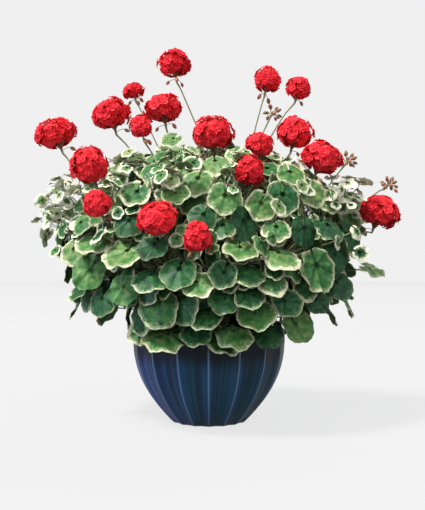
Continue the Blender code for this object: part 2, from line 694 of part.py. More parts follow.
def head_marks(florets, rng):
    """Directions on a unit ball with how far the head reaches there: florets, grooves and flat base."""
    centres = []
    for i in range(florets):
        z = 1 - (1 - math.cos(FLORET_SPAN)) * (i + 0.5) / florets
        angle = i * GOLDEN_ANGLE
        flat = math.sqrt(1 - z * z)
        centres.append(Vector((flat * math.cos(angle), flat * math.sin(angle), z)))
    base = []
    for i in range(BASE_SIDES):
        angle = 2 * math.pi * i / BASE_SIDES
        flat = math.sin(BASE_ANGLE)
        base.append(Vector((flat * math.cos(angle), flat * math.sin(angle), math.cos(BASE_ANGLE))))
    marks = [(direction, BASE_REACH) for direction in base]
    for corners in hull_triangles(centres + base):
        if any(corner < florets for corner in corners):
            groove = sum(((centres + base)[corner] for corner in corners), Vector())
            marks.append((groove.normalized(), GROOVE_REACH))
    span = FLORET_FILL * math.sqrt((1 - math.cos(FLORET_SPAN)) * 2 * math.pi / florets / (2 * math.sqrt(3)))
    for centre in centres:
        marks.append((centre, CENTRE_REACH))
        side = centre.orthogonal().normalized()
        other = centre.cross(side)
        spin = rng.uniform(0, 2 * math.pi)
        for k in range(2 * PETALS):
            is_tip = k % 2 == 0
            angle = spin + math.pi * k / PETALS
            away = span * (1 if is_tip else NOTCH_AWAY)
            around = math.cos(angle) * side + math.sin(angle) * other
            reach = TIP_REACH if is_tip else NOTCH_REACH
            direction = centre * math.cos(away) + around * math.sin(away)
            marks.append((direction, reach + rng.uniform(-PETAL_JITTER, PETAL_JITTER)))
    return marks


def make_flower_head(number, head, material):
    """A dense ball of star-shaped florets with deep grooves between them and a small flat base."""
    rng = random.Random(SEED + number)
    florets = round(LEAST_FLORETS + FLORETS_PER_METRE * head["width"])
    marks = head_marks(florets, rng)
    triangles = hull_triangles([direction for direction, reach in marks])
    turn = UP.rotation_difference(head["axis"])
    verts = []
    for direction, reach in marks:
        point = direction * reach
        point.x *= head["width"] / 2
        point.y *= head["width"] / 2
        point.z *= head["rise"]
        verts.append(head["centre"] + turn @ point)
    obj = new_object(f"flower_head_{number + 1:02d}", (verts, triangles), material)
    shade(obj)


def main():
    for obj in list(bpy.data.objects):
        bpy.data.objects.remove(obj)
    glaze = new_material("blue_glaze", (0.015, 0.035, 0.16), 0.25)
    earth = new_material("potting_soil", (0.045, 0.030, 0.020), 0.95)
    leaf_green = new_material("leaf_green", (0.035, 0.11, 0.03), 0.55)
    petal_red = new_material("petal_red", (0.62, 0.008, 0.012), 0.5)

    rng = random.Random(SEED)
    thicket = Thicket()
    thicket.add(None, "pot", pot_shape())
    thicket.add(None, "soil", soil_shape())
    stems = grow_stems(thicket)
    heads, sprays = grow_heads(thicket, stems)
    places = [front_place(row) for row in FRONT_LEAVES] + back_places(rng)
    leaves = grow_leaves(thicket, stems, places, rng)

    make_pot(glaze)
    make_soil(stems, earth)
    for number, stem in enumerate(stems):
        own = [[grown for grown in kind if grown["owner"] == number] for kind in (leaves, heads, sprays)]
        make_leafy_stem(number, stem, *own, leaf_green)
    for number, head in enumerate(heads):
        make_flower_head(number, head, petal_red)


main()
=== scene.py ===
"""The look of a geranium in a fluted, glazed pot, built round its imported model.

Metres, +Z up. The origin is the centre of the pot's flat base, and the front faces -Y.
The plan of the plant is the one that the solids grow by; leaves that fill it up follow.
"""

import json
import math
import random

import bpy
import numpy as np
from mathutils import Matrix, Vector
from mathutils.bvhtree import BVHTree

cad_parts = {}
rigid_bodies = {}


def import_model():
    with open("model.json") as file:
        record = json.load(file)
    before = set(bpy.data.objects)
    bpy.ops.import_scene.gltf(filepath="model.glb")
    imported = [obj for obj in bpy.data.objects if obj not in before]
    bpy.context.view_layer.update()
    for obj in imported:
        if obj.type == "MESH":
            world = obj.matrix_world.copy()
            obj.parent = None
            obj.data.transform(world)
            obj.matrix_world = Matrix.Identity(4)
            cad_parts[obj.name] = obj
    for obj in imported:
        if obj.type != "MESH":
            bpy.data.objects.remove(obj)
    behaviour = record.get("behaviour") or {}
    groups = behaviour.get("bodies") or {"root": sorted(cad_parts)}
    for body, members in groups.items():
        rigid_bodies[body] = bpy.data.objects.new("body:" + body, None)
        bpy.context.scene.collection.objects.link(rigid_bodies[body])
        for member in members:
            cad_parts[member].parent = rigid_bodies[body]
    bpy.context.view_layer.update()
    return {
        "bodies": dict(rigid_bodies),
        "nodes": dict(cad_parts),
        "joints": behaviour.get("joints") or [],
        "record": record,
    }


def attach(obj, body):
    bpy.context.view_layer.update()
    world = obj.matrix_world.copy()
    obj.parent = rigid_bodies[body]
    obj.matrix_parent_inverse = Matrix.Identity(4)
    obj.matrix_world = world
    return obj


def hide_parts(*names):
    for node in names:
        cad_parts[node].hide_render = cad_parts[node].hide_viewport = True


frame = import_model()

# Pieces that touch keep this gap
GAP = 0.0003
UP = Vector((0, 0, 1))
CM = 0.01

# Pot: widest just under the rim, curving in to its base ever faster
POT_RADIUS = 0.150
POT_HEIGHT = 0.180
WIDEST_HEIGHT = 0.160
BASE_RADIUS = 0.073
BOWL_CURVE = 2.2
POT_WALL = 0.010
POT_FLOOR = 0.010
POT_SIDES = 48
FLUTES = 16
FLUTE_DEPTH = 0.0040
FLUTE_TOP = 0.157
RIM_START = 0.166
RIM_ROUNDING = 0.003
OUTSIDE_HEIGHTS = (0, 0.014, 0.040, 0.080, 0.120, FLUTE_TOP, RIM_START)
INSIDE_HEIGHTS = (0.140, 0.085, 0.040, POT_FLOOR)
DRAIN_RADIUS = 0.015
# from the middle of the base towards the back
DRAIN_OFFSET = 0.034

# Soil
SOIL_HEIGHT = 0.155
SOIL_CROWN = 0.006
SOIL_SIDES = 24
STEM_DEPTH = 0.030

# Stems: each grows from the soil, upright at first, then leaning out
STEM_FOOT_RADIUS = 0.0055
STEM_TIP_RADIUS = 0.0032
STEM_SIDES = 6
STEM_SEGMENTS = 4
# straight up for this share of its height
STEM_UPRIGHT = 0.6
# count, first angle in degrees, distance of the foot and of the tip from the pot's axis, height of the tip
STEM_RINGS = (
    (4, 40, 0.034, 0.075, 0.420),
    (8, 15, 0.085, 0.165, 0.330),
)

# Leaf stalks and flower stalks
LEAF_STALK_RADIUS = 0.0013
FLOWER_STALK_RADIUS = 0.0014
STALK_SIDES = 3
LEAF_STALK = 0.075
FLOWER_STALK = 0.200
# stalks leave a stem at places of their own, evenly between these shares of its way, from below if they can
ROOTS_PER_STEM = 24
ROOT_SPAN = (0.10, 0.98)
MOST_ROOTS = 24
ROOT_DROP = 0.010
HIGH_ROOT_FAULT = 0.6
# a stalk bends this share of its way along, drawn back and bowed up or down there by shares of its length
BEND_AT = 0.55
BEND_BACK = 0.22
STALK_BOWS = (0.12, 0.0, 0.28, -0.12)
# a stalk comes in from below: the least cosine between its end and the direction of what it carries
LEAST_ARRIVAL = 0.3
# it may touch its own blade beyond this share of its last segment
CHECKED_SHARE = 0.8
LEAF_ATTEMPTS = 80
CROWN_RADIUS = 0.0026
SPOKE_ROOT = 0.002
FAN_START = 0.005
BUD_RADIUS = 0.0027
BUD_LENGTH = 0.009

# Leaf blades: thickness at the edge and at the stalk, and the outline as shares of the radius
BLADE_EDGE = 0.0008
BLADE_HUB = 0.0028
LARGE_LEAF = 0.078
MANY_LOBES = 7
FEW_LOBES = 5
NOTCH_SHARE = 0.87
HUB_SHIFT = 0.25
CLEFT_SHARE = 0.12
# how far the edge is lifted, and how far its lobes and notches are pleated
CUPS = (-0.25, 0.20)
PLEATS = (0.05, 0.11)
SWELLING = 0.0014

# Flower heads: the middle of the underside, as a share of the head's reach and an angle from its axis
BASE_REACH = 0.51
BASE_ANGLE = math.radians(150)
# the lowest petals hang this share of the rise below the middle
HEAD_DROOP = 0.65
# from the underside down to where the flower's stalk splits, as a share of the width
CROWN_DROP = 0.20
SPOKES = 3
# heads lean outwards by how far they are from the axis to a side or to the front, the most those in front
# of the mound
LEAN_BY_SIDE = 4
LEAN_BY_FRONT = 3
HEAD_LEAN = 0.35
FACE_LEAN = 0.5
FACE_STARTS_AT = -0.12

# The mound of leaves is an egg round the pot's axis
MOUND_WIDTH = 0.285
MOUND_DEPTH = 0.260
MOUND_MIDDLE = 0.310
MOUND_RISE = 0.225
MOUND_FALL = 0.200

# Flower heads of the front in centimetres: x, y, z, width, height
FRONT_HEADS = (
    (-30.3, -2, 57.0, 8.5, 5.7), (-22.4, -10, 49.7, 7.5, 7.2), (-19.7, 0, 61.2, 8.6, 6.0),
    (-16.0, 8, 67.4, 4.6, 2.7), (-9.4, 3, 63.0, 8.3, 5.7), (-13.0, -7, 57.3, 4.6, 4.2),
    (-7.2, 5, 72.5, 7.2, 5.4), (0.8, -3, 56.9, 8.6, 6.7), (12.2, 6, 69.4, 6.2, 5.2),
    (18.2, 2, 66.7, 5.4, 4.2), (17.3, 0, 57.4, 7.6, 6.4), (21.4, -8, 51.4, 8.7, 5.7),
    (9.9, -5, 54.2, 5.7, 4.7), (7.5, -14, 48.0, 5.8, 6.0), (-19.6, -19, 41.6, 5.3, 4.9),
    (-8.7, -25, 38.7, 7.3, 5.1), (-1.7, -28, 35.3, 5.0, 5.1), (33.6, -2, 41.5, 8.5, 6.1),
)
# Flower heads on the far side, below the mound's top
BACK_HEADS = (
    (-20, 17, 38, 7.8, 6.0), (-9, 24, 43, 8.2, 6.4), (3, 27, 35, 7.4, 6.0),
    (13, 22, 43, 8.0, 6.2), (24, 14, 36, 7.0, 5.6),
)
# Sprays of closed buds: x, y, z
BUD_SPRAYS = ((27.5, 0, 51.4), (36.3, 3, 47.0), (12.9, 5, 61.8))
SPRAY_LEAN = 0.5

# Leaves of the front in centimetres, as far as they show from there: x, z, width, height, and their look
FRONT_LEAVES = (
    # over the rim
    (-7.6, 17.9, 7.4, 4.2, "b"), (2.7, 16.8, 7.0, 3.5, "v"), (-8.8, 23.2, 6.2, 6.6, "m"),
    (-12.6, 21.6, 2.8, 6.2, "d"), (-4.6, 23.2, 4.6, 5.8, "d"), (-0.4, 21.8, 5.6, 3.8, "m"),
    (4.6, 18.6, 6.3, 3.6, "b"), (8.2, 21.6, 6.2, 4.9, "b"), (16.0, 19.5, 5.4, 5.8, "g"),
    (2.6, 24.4, 4.8, 3.8, "d"), (6.9, 25.2, 5.0, 3.6, "d"), (-13.0, 18.6, 4.8, 4.2, "v"),
    (-2.2, 18.4, 5.0, 3.8, "d"), (10.6, 18.4, 5.0, 4.0, "n"),
    # lower middle
    (-1.7, 27.2, 5.2, 3.9, "y"), (2.4, 28.8, 4.6, 4.4, "d"), (-5.1, 29.3, 5.8, 4.8, "d"),
    (6.8, 29.4, 5.8, 3.8, "m"), (5.3, 33.0, 5.6, 3.8, "y"), (11.0, 27.8, 5.2, 4.0, "v"),
    (13.6, 23.8, 5.0, 4.2, "d"), (19.2, 29.7, 6.0, 7.3, "m"), (12.5, 32.3, 6.6, 2.9, "p"),
    (19.4, 24.0, 4.2, 4.0, "n"), (23.5, 26.8, 5.6, 4.8, "n"),
    # right
    (23.0, 31.8, 4.2, 5.0, "n"), (26.2, 35.9, 4.6, 6.0, "n"), (21.9, 37.4, 5.6, 3.8, "n"),
    (16.8, 36.4, 4.2, 5.2, "n"), (11.6, 36.6, 4.6, 3.8, "v"), (19.0, 43.6, 5.0, 5.0, "p"),
    (25.9, 43.8, 4.6, 4.8, "p"), (32.4, 29.7, 5.0, 3.0, "y"), (13.0, 42.3, 5.9, 5.8, "d"),
    (15.2, 47.4, 5.2, 3.8, "y"), (14.7, 51.4, 4.4, 3.4, "p"), (21.0, 47.4, 4.4, 3.6, "p"),
    (22.8, 42.6, 4.6, 4.4, "p"), (28.4, 40.0, 4.4, 4.6, "p"),
    # middle
    (2.8, 41.8, 5.5, 5.2, "y"), (5.8, 37.4, 3.8, 5.8, "n"), (8.8, 40.6, 4.8, 5.2, "y"),
    (1.2, 48.9, 5.3, 3.2, "p"), (-2.0, 45.2, 5.2, 4.4, "y"), (-5.6, 42.4, 4.6, 3.6, "y"),
    (-1.0, 38.6, 4.6, 4.0, "d"), (-2.4, 34.0, 6.2, 6.8, "m"), (-5.6, 51.6, 4.6, 3.4, "p"),
    (5.6, 51.2, 4.6, 3.4, "p"),
    # left
    (-12.9, 43.0, 5.4, 4.4, "v"), (-9.9, 47.6, 4.8, 3.5, "m"), (-15.8, 46.8, 4.4, 3.4, "n"),
    (-19.4, 49.0, 4.4, 3.2, "p"), (-7.5, 55.6, 4.0, 3.0, "y"), (-15.4, 52.0, 4.4, 3.2, "y"),
    (-29.4, 45.6, 4.2, 2.9, "p"), (-26.8, 41.6, 4.8, 4.0, "p"), (-31.0, 40.8, 3.8, 3.0, "p"),
    (-28.2, 36.6, 4.6, 3.4, "n"), (-22.0, 39.4, 5.6, 3.4, "y"), (-20.4, 34.6, 6.2, 3.7, "y"),
    (-14.4, 32.4, 7.4, 4.6, "p"), (-21.4, 29.2, 5.4, 5.8, "g"), (-19.1, 24.0, 4.4, 5.0, "d"),
    (-14.6, 26.2, 4.9, 4.9, "g"), (-10.0, 28.4, 6.0, 4.3, "d"), (-9.4, 33.4, 5.0, 3.8, "n"),
    (-14.0, 37.8, 4.8, 4.0, "n"), (-24.8, 33.0, 4.8, 5.0, "p"),
)
# neighbours hide a part of them, and those at the sides turn away from the front
HIDDEN_SHARE = 1.16
SIDE_TURN = 0.5
# Leaves of the sides and back follow a spiral down the mound
BACK_LEAVES = 80
BACK_LEAF_SIZES = (0.070, 0.088)
BACK_STARTS_AT = -0.045
BACK_CROWDING = 0.9
MOUND_SPAN = (0.200, 0.525)
GOLDEN_ANGLE = math.pi * (3 - math.sqrt(5))
LEAST_LEAN = math.radians(15)
MOST_LEAN = math.radians(62)
# leaves of the mound face outwards and up: the share of each where the mound is narrow, and how far it
# changes where the mound is at its widest
BACK_FACING = ((0.35, 0.6), (0.75, -0.3))
FILL_FACING = ((0.3, 0.6), (0.8, -0.3))
# a leaf that finds no room is tried smaller, further in or out, moved aside, tilted and turned ever more
LEAF_SHRINK = 0.25
LEAF_PUSH = (-0.045, 0.012)
LEAF_STRAY = 0.008
LEAF_TILT = (0.12, 0.45)
LEAF_SPIN = (0.5, 0.8)
# the tip of a leaf points outwards by this share as it hangs down
LEAF_HANG = 0.7
SEED = 11

# Leaves that only fill up: how many places, their depths, heights and sizes.
# The layers are low over the rim, deep, near the surface, at the surface, and in the crown.
FILL_LAYERS = (
    (90, (0.25, 0.80), (0.185, 0.235), (0.055, 0.075)),
    (300, (0.35, 0.84), (0.210, 0.500), (0.055, 0.080)),
    (520, (0.80, 1.00), (0.235, 0.520), (0.040, 0.062)),
    (420, (0.90, 1.08), (0.330, 0.530), (0.026, 0.046)),
    (90, (0.00, 0.80), (0.440, 0.525), (0.034, 0.054)),
)
FILL_SHAKE = 0.55
LEAST_FILL_REACH = 0.35
FILL_ATTEMPTS = 10
FILL_ROOTS = 8
FILL_SWELLING = 0.0006
# Side shoots that end in a tuft of small leaves, in centimetres: x, y, z, how far the tuft reaches, leaves
SHOOTS = (
    (-29, -3, 42.5, 5.0, 17), (-25, -9, 45.5, 4.6, 17), (-31, 4, 39.0, 4.6, 12), (26, -6, 43.5, 4.8, 22),
    (21, -10, 46.5, 4.4, 20), (29, 3, 41.0, 4.2, 16), (-15, -10, 48.0, 4.2, 20), (-4, -12, 49.0, 4.4, 22),
    (7, -11, 49.5, 4.2, 20), (16, -4, 49.0, 4.2, 16), (-20, -2, 48.0, 4.2, 16), (-17, -17, 44.5, 4.0, 18),
    (-7, -21, 45.5, 4.0, 18), (5, -21, 45.0, 4.0, 18), (14, -19, 43.0, 4.0, 18), (1, 2, 52.5, 4.4, 18),
    (-9, 4, 51.5, 4.0, 16), (11, 5, 51.5, 4.0, 16), (-22, 10, 45.0, 4.4, 18), (21, 11, 44.5, 4.4, 18),
    (-9, 17, 48.5, 4.4, 18), (9, 18, 47.5, 4.4, 18),
)
SHOOT_LENGTH = 0.120
SHOOT_RADIUS = 0.0019
SHOOT_LEAN = 0.8
TUFT_SPAN = math.radians(125)
TUFT_ATTEMPTS = 8
# young leaves sit at these shares of the tuft's reach, and grow from this last share of the shoot
TUFT_SHARES = (0.4, 1.0)
TUFT_ROOTS = 0.3
# they face away from the tuft's middle and up by these shares, on stalks that bend by this share
YOUNG_FACING = (0.6, 0.5)
YOUNG_BEND = 0.15
YOUNG_SIZES = (0.020, 0.040)
YOUNG_STALK_RADIUS = 0.0008
SHOOT_SEGMENTS = 12
# a small leaf keeps clear of a flower's middle by these shares of the flower's width and of its own size
FLOWER_CLEARANCE = (0.45, 0.35)

# Leaf looks: tone from dark to pale, and the share of the radius that is cream. Shady, dark, middling and
# bright leaves, all green ones, widely edged ones, yellowish and pale ones.
LEAF_LOOKS = {
    "n": (0.12, 0.02), "d": (0.20, 0.03), "m": (0.40, 0.045), "b": (0.58, 0.05),
    "g": (0.62, 0.00), "v": (0.45, 0.12), "y": (0.66, 0.08), "p": (0.72, 0.11),
}
LOOK_SPREAD = 0.05
EDGE_SPREAD = (0.8, 1.2)
# tones of the others: at the mound's foot, how much paler at its top, and how far they differ
FOOT_TONE = 0.15
TONE_RISE = 0.6
TONE_SPREAD = (-0.3, 0.25)
CREAM_EDGES = (0.02, 0.06)
CREAM_BY_TONE = 0.14
# young leaves are creamier, above all at the sides: the least and the most, in the middle and added there
YOUNG_CREAM = ((0.05, 0.25), (0.15, 0.65))
# leaves are darkest within this share of the mound, and shade ends this much further out
SHADE_REACH = 0.5
SHADE_FADE = 0.4

# Blades: teeth in each lobe, points in each tooth, and rings from the stalk to the edge, above and below
BLADE_DETAILS = {
    "fine": (4, 3, (0, 0.25, 0.48, 0.68, 0.85, 1), (0, 0.3, 0.65, 1)),
    "plain": (2, 3, (0, 0.35, 0.70, 0.9, 1), (0, 0.5, 1)),
}
TOOTH_DEPTH = 0.032
# the fine blade has this share of the plan's lobes and pleats
LOBE_SHARE = 0.55
PLEAT_SHARE = 0.7
# waves two and three times round the outline, half the angle of the slit, waves of the edge, and folds
OUTLINE_WAVES = (0.025, 0.02)
LEAF_SLITS = (0.08, 0.24)
RUFFLE = 0.038
QUILTING = 0.11
# a leaf's stalk swells at its root and at the blade: shares of its radius along it
LEAF_STALK_SWELLINGS = (1.7, 1.25, 1, 1, 1, 1, 1.3)

# Slots of a stem's piece
UPPER_SLOT, UNDER_SLOT, STALK_SLOT = range(3)
# how woody, how red and how pale stalks are
STALK_TINT = (0, 0.04, 0.1)
YOUNG_STALK_TINT = (0, 0.04, 0.8)
SHOOT_TINT = (0, 0.05, 0.6)
FLOWER_STALK_TINT = (0, 0.1, 0.25)
BUD_STALK_TINT = (0, 0.2, 0.2)
PEDICEL_TINT = (0, 0.85, 0)

# Fine stems, stalks and buds
FINE_STEM_SEGMENTS = 20
FINE_STEM_SIDES = 12
# stems are woody up to this far above the soil
WOODY_HEIGHT = 0.12
# every fourth ring of a stem is swollen
STEM_SWELLING = 1.12
STEM_WAIST = 0.97
# a stem's tip: how far beyond its end, and how wide
STEM_TIP = ((0, STEM_TIP_RADIUS), (0.004, 0.0022), (0.006, 0.0006))
# a flower's stalk swells at its root and narrows under its crown
ROOT_SWELLINGS = (1.5, 1.15)
NECK_SHARE = 0.8
FLOWER_STALK_SEGMENTS = 14
# points of a flower's stalk keep this far from its neck, where it widens to its crown
NECK_CLEARANCE = 0.012
BUD_STALK_RADII = (0.0006, 0.0006, 0.0006, 0.0006, 0.0009)
SPRAY_BUDS = 13
SPRAY_SPAN = math.radians(95)
SPRAY_LENGTHS = (0.8, 1.4)
SPRAY_DROOP = 0.1
SPRAY_REDNESS = (0.3, 0.9)
BUD_SIZES = (1.1, 1.6)
# a bud from end to end: how far along and how wide, as shares of its size
BUD_PROFILE = ((-0.3, 0.45), (0.3, 0.85), (1.2, 1.0), (2.1, 0.65), (2.7, 0.15))

# Slots of a head's piece
PETAL_SLOT, CORE_SLOT = range(2)

# Fine flower heads: the core's levels as shares of the rise and widths as shares of the radius
CORE_PROFILE = ((-0.42, 0.05), (-0.36, 0.56), (0.0, 0.75), (0.40, 0.69), (0.68, 0.46), (0.79, 0.04))
# a pedicel ends this far below its floret and is bowed a little
PEDICEL_END = 0.012
PEDICEL_BOW = 0.004
PEDICEL_RADII = (0.0007, 0.0006, 0.0006, 0.0009)
# some buds hang out below, on stalks of this share of the head's width
HANGING_SPAN = math.radians(100)
HANGING_LENGTH = 0.22
HANGING_DROOP = (0.8, 2.0)
HANGING_REDNESS = (0.4, 0.9)
# florets reach round the head to this angle from its axis, and out to these shares of its radius
LEAST_FLORETS = 12
FLORETS_PER_METRE = 500
FLORET_SPAN = math.radians(144)
FLORET_REACH = (0.68, 0.90)
# heads are lumpy, and flatter below than above
LUMPS = 0.06
UNDERSIDE = 0.76
PETAL_COLUMNS = 5
PETAL_ROWS = 4
PETAL_LENGTH = 0.0055
PETAL_LENGTH_BY_WIDTH = 0.070
# a petal's outline, from its root: its width, how its end is rounded and drawn in, and its cup and waves
PETAL_ROOT = 0.08
PETAL_WIDTH = 0.62
PETAL_ROUNDING = 0.22
PETAL_CURVE = 0.2
PETAL_CUP = 0.16
PETAL_RUFFLE = 0.07
PETAL_SIZES = (0.88, 1.12)
PETAL_SHAKE = 0.2
# whorls of a floret's petals: share of the length, count, how steeply they stand and how far they open
PETAL_WHORLS = ((1.0, 5, 0.20, 1.0), (0.72, 5, 0.50, 0.70))

# Fine pot: points across a flute, and rings up the outside, round the rim and down the inside
FLUTE_SIDES = 14
FINE_POT_RINGS = 36
RIM_POINTS = 13
INSIDE_RINGS = 12
INSIDE_TOP = 0.165
# how the ridges, the rim, the foot and the edge of the floor round off
RIDGE_ROUNDING = 0.10
RIM_LIFT = 0.005
FOOT_ROUNDING = 0.002
FOOT_INSET = 0.0015
FOOT_WIDTH = 0.012
FLOOR_ROUNDING = 0.004
# flutes fade out over this height below their top, and deepen by this share over this height at the foot
FLUTE_FADE = 0.012
FOOT_SCALLOPS = 1.4
FOOT_HEIGHT = 0.022

# Fine soil, with a flat middle of this share of its width
FLAT_SHARE = 0.6
SOIL_CRUMBS = 420
CRUMB_SIZES = (0.0012, 0.0042)
# a crumb's radii from end to end, half its length, and how high its middle lies, as shares of its size
CRUMB_SHARES = ((0.5, 0.9), (0.7, 1.1), (0.3, 0.8))
CRUMB_REACH = 0.7
CRUMB_LIFT = 0.2

# Studio
CAMERA_LENS = 56.8
CAMERA_DISTANCE = 1.6
CAMERA_HEIGHT = 0.2965
CAMERA_SHIFT = 0.007
CAMERA_PITCH = math.radians(1.08)
SKY = 0.87
AMBIENT = 0.22
# name, azimuth, elevation, strength, spread, tint
SUNS = (
    ("key", -52, 55, 4.1, 12, (1.0, 0.99, 0.96)),
    ("front", -8, 36, 0.9, 40, (1.0, 1.0, 1.0)),
    ("fill", 55, 30, 0.9, 60, (0.93, 0.97, 1.0)),
    ("low", -72, 4, 2.2, 30, (0.66, 0.74, 1.0)),
    ("back", 160, 40, 1.2, 60, (0.97, 0.98, 1.0)),
)
FLOOR_RADIUS = 20
FLOOR_ALBEDO = 0.085
FLOOR_GLOW = 0.745
FLOOR_LIGHT = 0.12


# Small geometry helpers


def radial(point):
    """The horizontal direction from the pot's axis to the point."""
    return Vector((point.x, point.y, 0)).normalized()


def bezier(points, share):
    """The point of the Bezier curve of these control points, at this share of its way."""
    while len(points) > 1:
        points = [a.lerp(b, share) for a, b in zip(points, points[1:])]
    return points[0]


def sampled(points, segments):
    return [bezier(points, i / segments) for i in range(segments + 1)]


def taper(first, last, count):
    """Evenly spaced numbers from the first to the last."""
    return [first + (last - first) * i / (count - 1) for i in range(count)]


def tube(points, radii, sides):
    """A closed tube along the points, with a radius at each of them, as vertices and faces."""
    ways = [(b - a).normalized() for a, b in zip(points, points[1:])]
    tangents = [ways[0]] + [(a + b).normalized() for a, b in zip(ways, ways[1:])] + [ways[-1]]
    across = Vector((1, 0, 0))
    verts = []
    for point, radius, tangent in zip(points, radii, tangents):
        if abs(across.dot(tangent)) > 0.95:
            across = tangent.orthogonal()
        across = (across - tangent * across.dot(tangent)).normalized()
        other = tangent.cross(across)
        for i in range(sides):
            angle = 2 * math.pi * i / sides
            verts.append(point + radius * (math.cos(angle) * across + math.sin(angle) * other))
    faces = [tuple(reversed(range(sides)))]
    for ring in range(len(points) - 1):
        for i in range(sides):
            low, next_low = ring * sides + i, ring * sides + (i + 1) % sides
            faces.append((low, next_low, next_low + sides, low + sides))
    faces.append(tuple(range(len(verts) - sides, len(verts))))
    return verts, faces


def blade_outline(leaf, swelling):
    """The middle of the blade's edge: lobes and notches, pleated and cupped, with a cleft at the stalk."""
    radius = leaf["size"] / 2 + swelling
    side = leaf["normal"].cross(leaf["tip"])
    lobes = MANY_LOBES if leaf["size"] > LARGE_LEAF else FEW_LOBES
    outline = []
    for k in range(2 * lobes):
        angle = math.pi + k * math.pi / lobes
        is_lobe = k % 2 == 1
        reach = radius * (1 if is_lobe else NOTCH_SHARE)
        along = radius * HUB_SHIFT + reach * math.cos(angle)
        rise = radius * (leaf["cup"] + leaf["pleat"] * (-1 if is_lobe else 1))
        if k == 0:
            along, rise = -CLEFT_SHARE * radius, 0
        across = reach * math.sin(angle)
        outline.append(leaf["hub"] + along * leaf["tip"] + across * side + rise * leaf["normal"])
    return outline


def blade(leaf, swelling):
    """A leaf's blade alone, swollen, used to keep other things away."""
    outline = blade_outline(leaf, swelling)
    count = len(outline)
    lift = leaf["normal"] * (BLADE_EDGE + swelling) / 2
    hub_lift = leaf["normal"] * (BLADE_HUB + swelling) / 2
    verts = [p + lift for p in outline] + [p - lift for p in outline]
    verts += [leaf["hub"] + hub_lift, leaf["hub"] - hub_lift]
    faces = []
    for i in range(count):
        j = (i + 1) % count
        faces += [(2 * count, i, j), (2 * count + 1, count + j, count + i)]
        faces += [(i, count + i, count + j), (i, count + j, j)]
    return verts, faces


def ball(centre, axis, radius, rise):
    """A low-sided ball round an axis, a little hollow below, only used to keep other things away."""
    levels = ((-0.60, 0.80), (-0.20, 1.05), (0.40, 0.98), (0.90, 0.50))
    points = [centre + axis * rise * level for level, share in levels]
    return tube(points, [radius * share for level, share in levels], 8)


# What grows where: nothing new crosses what is already there


class Thicket:
    """The pieces placed so far, a little swollen, with the stem that each belongs to."""

    def __init__(self):
        self.pieces = []

    def add(self, owner, kind, shape):
        self.pieces.append((owner, kind, *self.surrounds(shape), BVHTree.FromPolygons(*shape)))

    def is_free(self, shape, owner=None, skipped=()):
        """Whether the shape crosses no piece, apart from the owner's own pieces of the skipped kinds."""
        middle, reach = self.surrounds(shape)
        tree = BVHTree.FromPolygons(*shape)
        for other, kind, centre, radius, other_tree in self.pieces:
            is_skipped = other == owner and kind in skipped
            is_near = (centre - middle).length < reach + radius
            if is_near and not is_skipped and tree.overlap(other_tree):
                return False
        return True

    def surrounds(self, shape):
        """The middle and the radius of a ball that holds the shape."""
        middle = sum(shape[0], Vector()) / len(shape[0])
        return middle, max((point - middle).length for point in shape[0])


def crosses(shape, other):
    return bool(BVHTree.FromPolygons(*shape).overlap(BVHTree.FromPolygons(*other)))


def swollen_stalk(points, radius):
    return tube(points, [radius + SWELLING / 2] * len(points), STALK_SIDES + 1)


def grow_stems(thicket):
    """Each stem's control points, from its foot at the soil to its tip."""
    stems = []
    for count, first, foot_distance, tip_distance, tip_height in STEM_RINGS:
        for i in range(count):
            angle = math.radians(first + 360 * i / count)
            outward = Vector((math.cos(angle), math.sin(angle), 0))
            foot = outward * foot_distance + UP * SOIL_HEIGHT
            tip = outward * tip_distance + UP * tip_height
            points = [foot, foot + UP * STEM_UPRIGHT * (tip_height - SOIL_HEIGHT), tip]
            stems.append({"points": points, "free": list(range(ROOTS_PER_STEM))})
            path = sampled(points, STEM_SEGMENTS)
            radii = [STEM_FOOT_RADIUS + SWELLING] * len(path)
            thicket.add(len(stems) - 1, "stem", tube(path, radii, STEM_SIDES))
    return stems


def roots_for(stems, end, length):
    """Free places on the stems to start a stalk of about this length to the end, the best ones first."""
    places = []
    for owner, stem in enumerate(stems):
        for slot in stem["free"]:
            root = bezier(stem["points"], taper(*ROOT_SPAN, ROOTS_PER_STEM)[slot])
            too_high = max(0, root.z - end.z + ROOT_DROP)
            fault = abs((end - root).length - length) + HIGH_ROOT_FAULT * too_high
            places.append((fault, owner, slot, root))
    places.sort(key=lambda place: place[:3])
    return places[:MOST_ROOTS]


def grow_stalk(thicket, stems, end, direction, length, radius, segments, own_blade=None):
    """A clear way from some stem to the end, where it arrives in this direction: the stem and the way."""
    for fault, owner, slot, root in roots_for(stems, end, length):
        reach = (end - root).length
        for bow in STALK_BOWS:
            bend = root.lerp(end, BEND_AT) - direction * BEND_BACK * reach + UP * bow * reach
            path = sampled([root, bend, end], segments)
            if (end - path[-2]).normalized().dot(direction) < LEAST_ARRIVAL:
                continue
            clear_end = path[-2].lerp(end, CHECKED_SHARE)
            if own_blade and crosses(swollen_stalk(path[:-1] + [clear_end], radius), own_blade):
                continue
            if thicket.is_free(swollen_stalk(path, radius), owner, ("stem", "stalk")):
                stems[owner]["free"].remove(slot)
                return owner, path
    return None


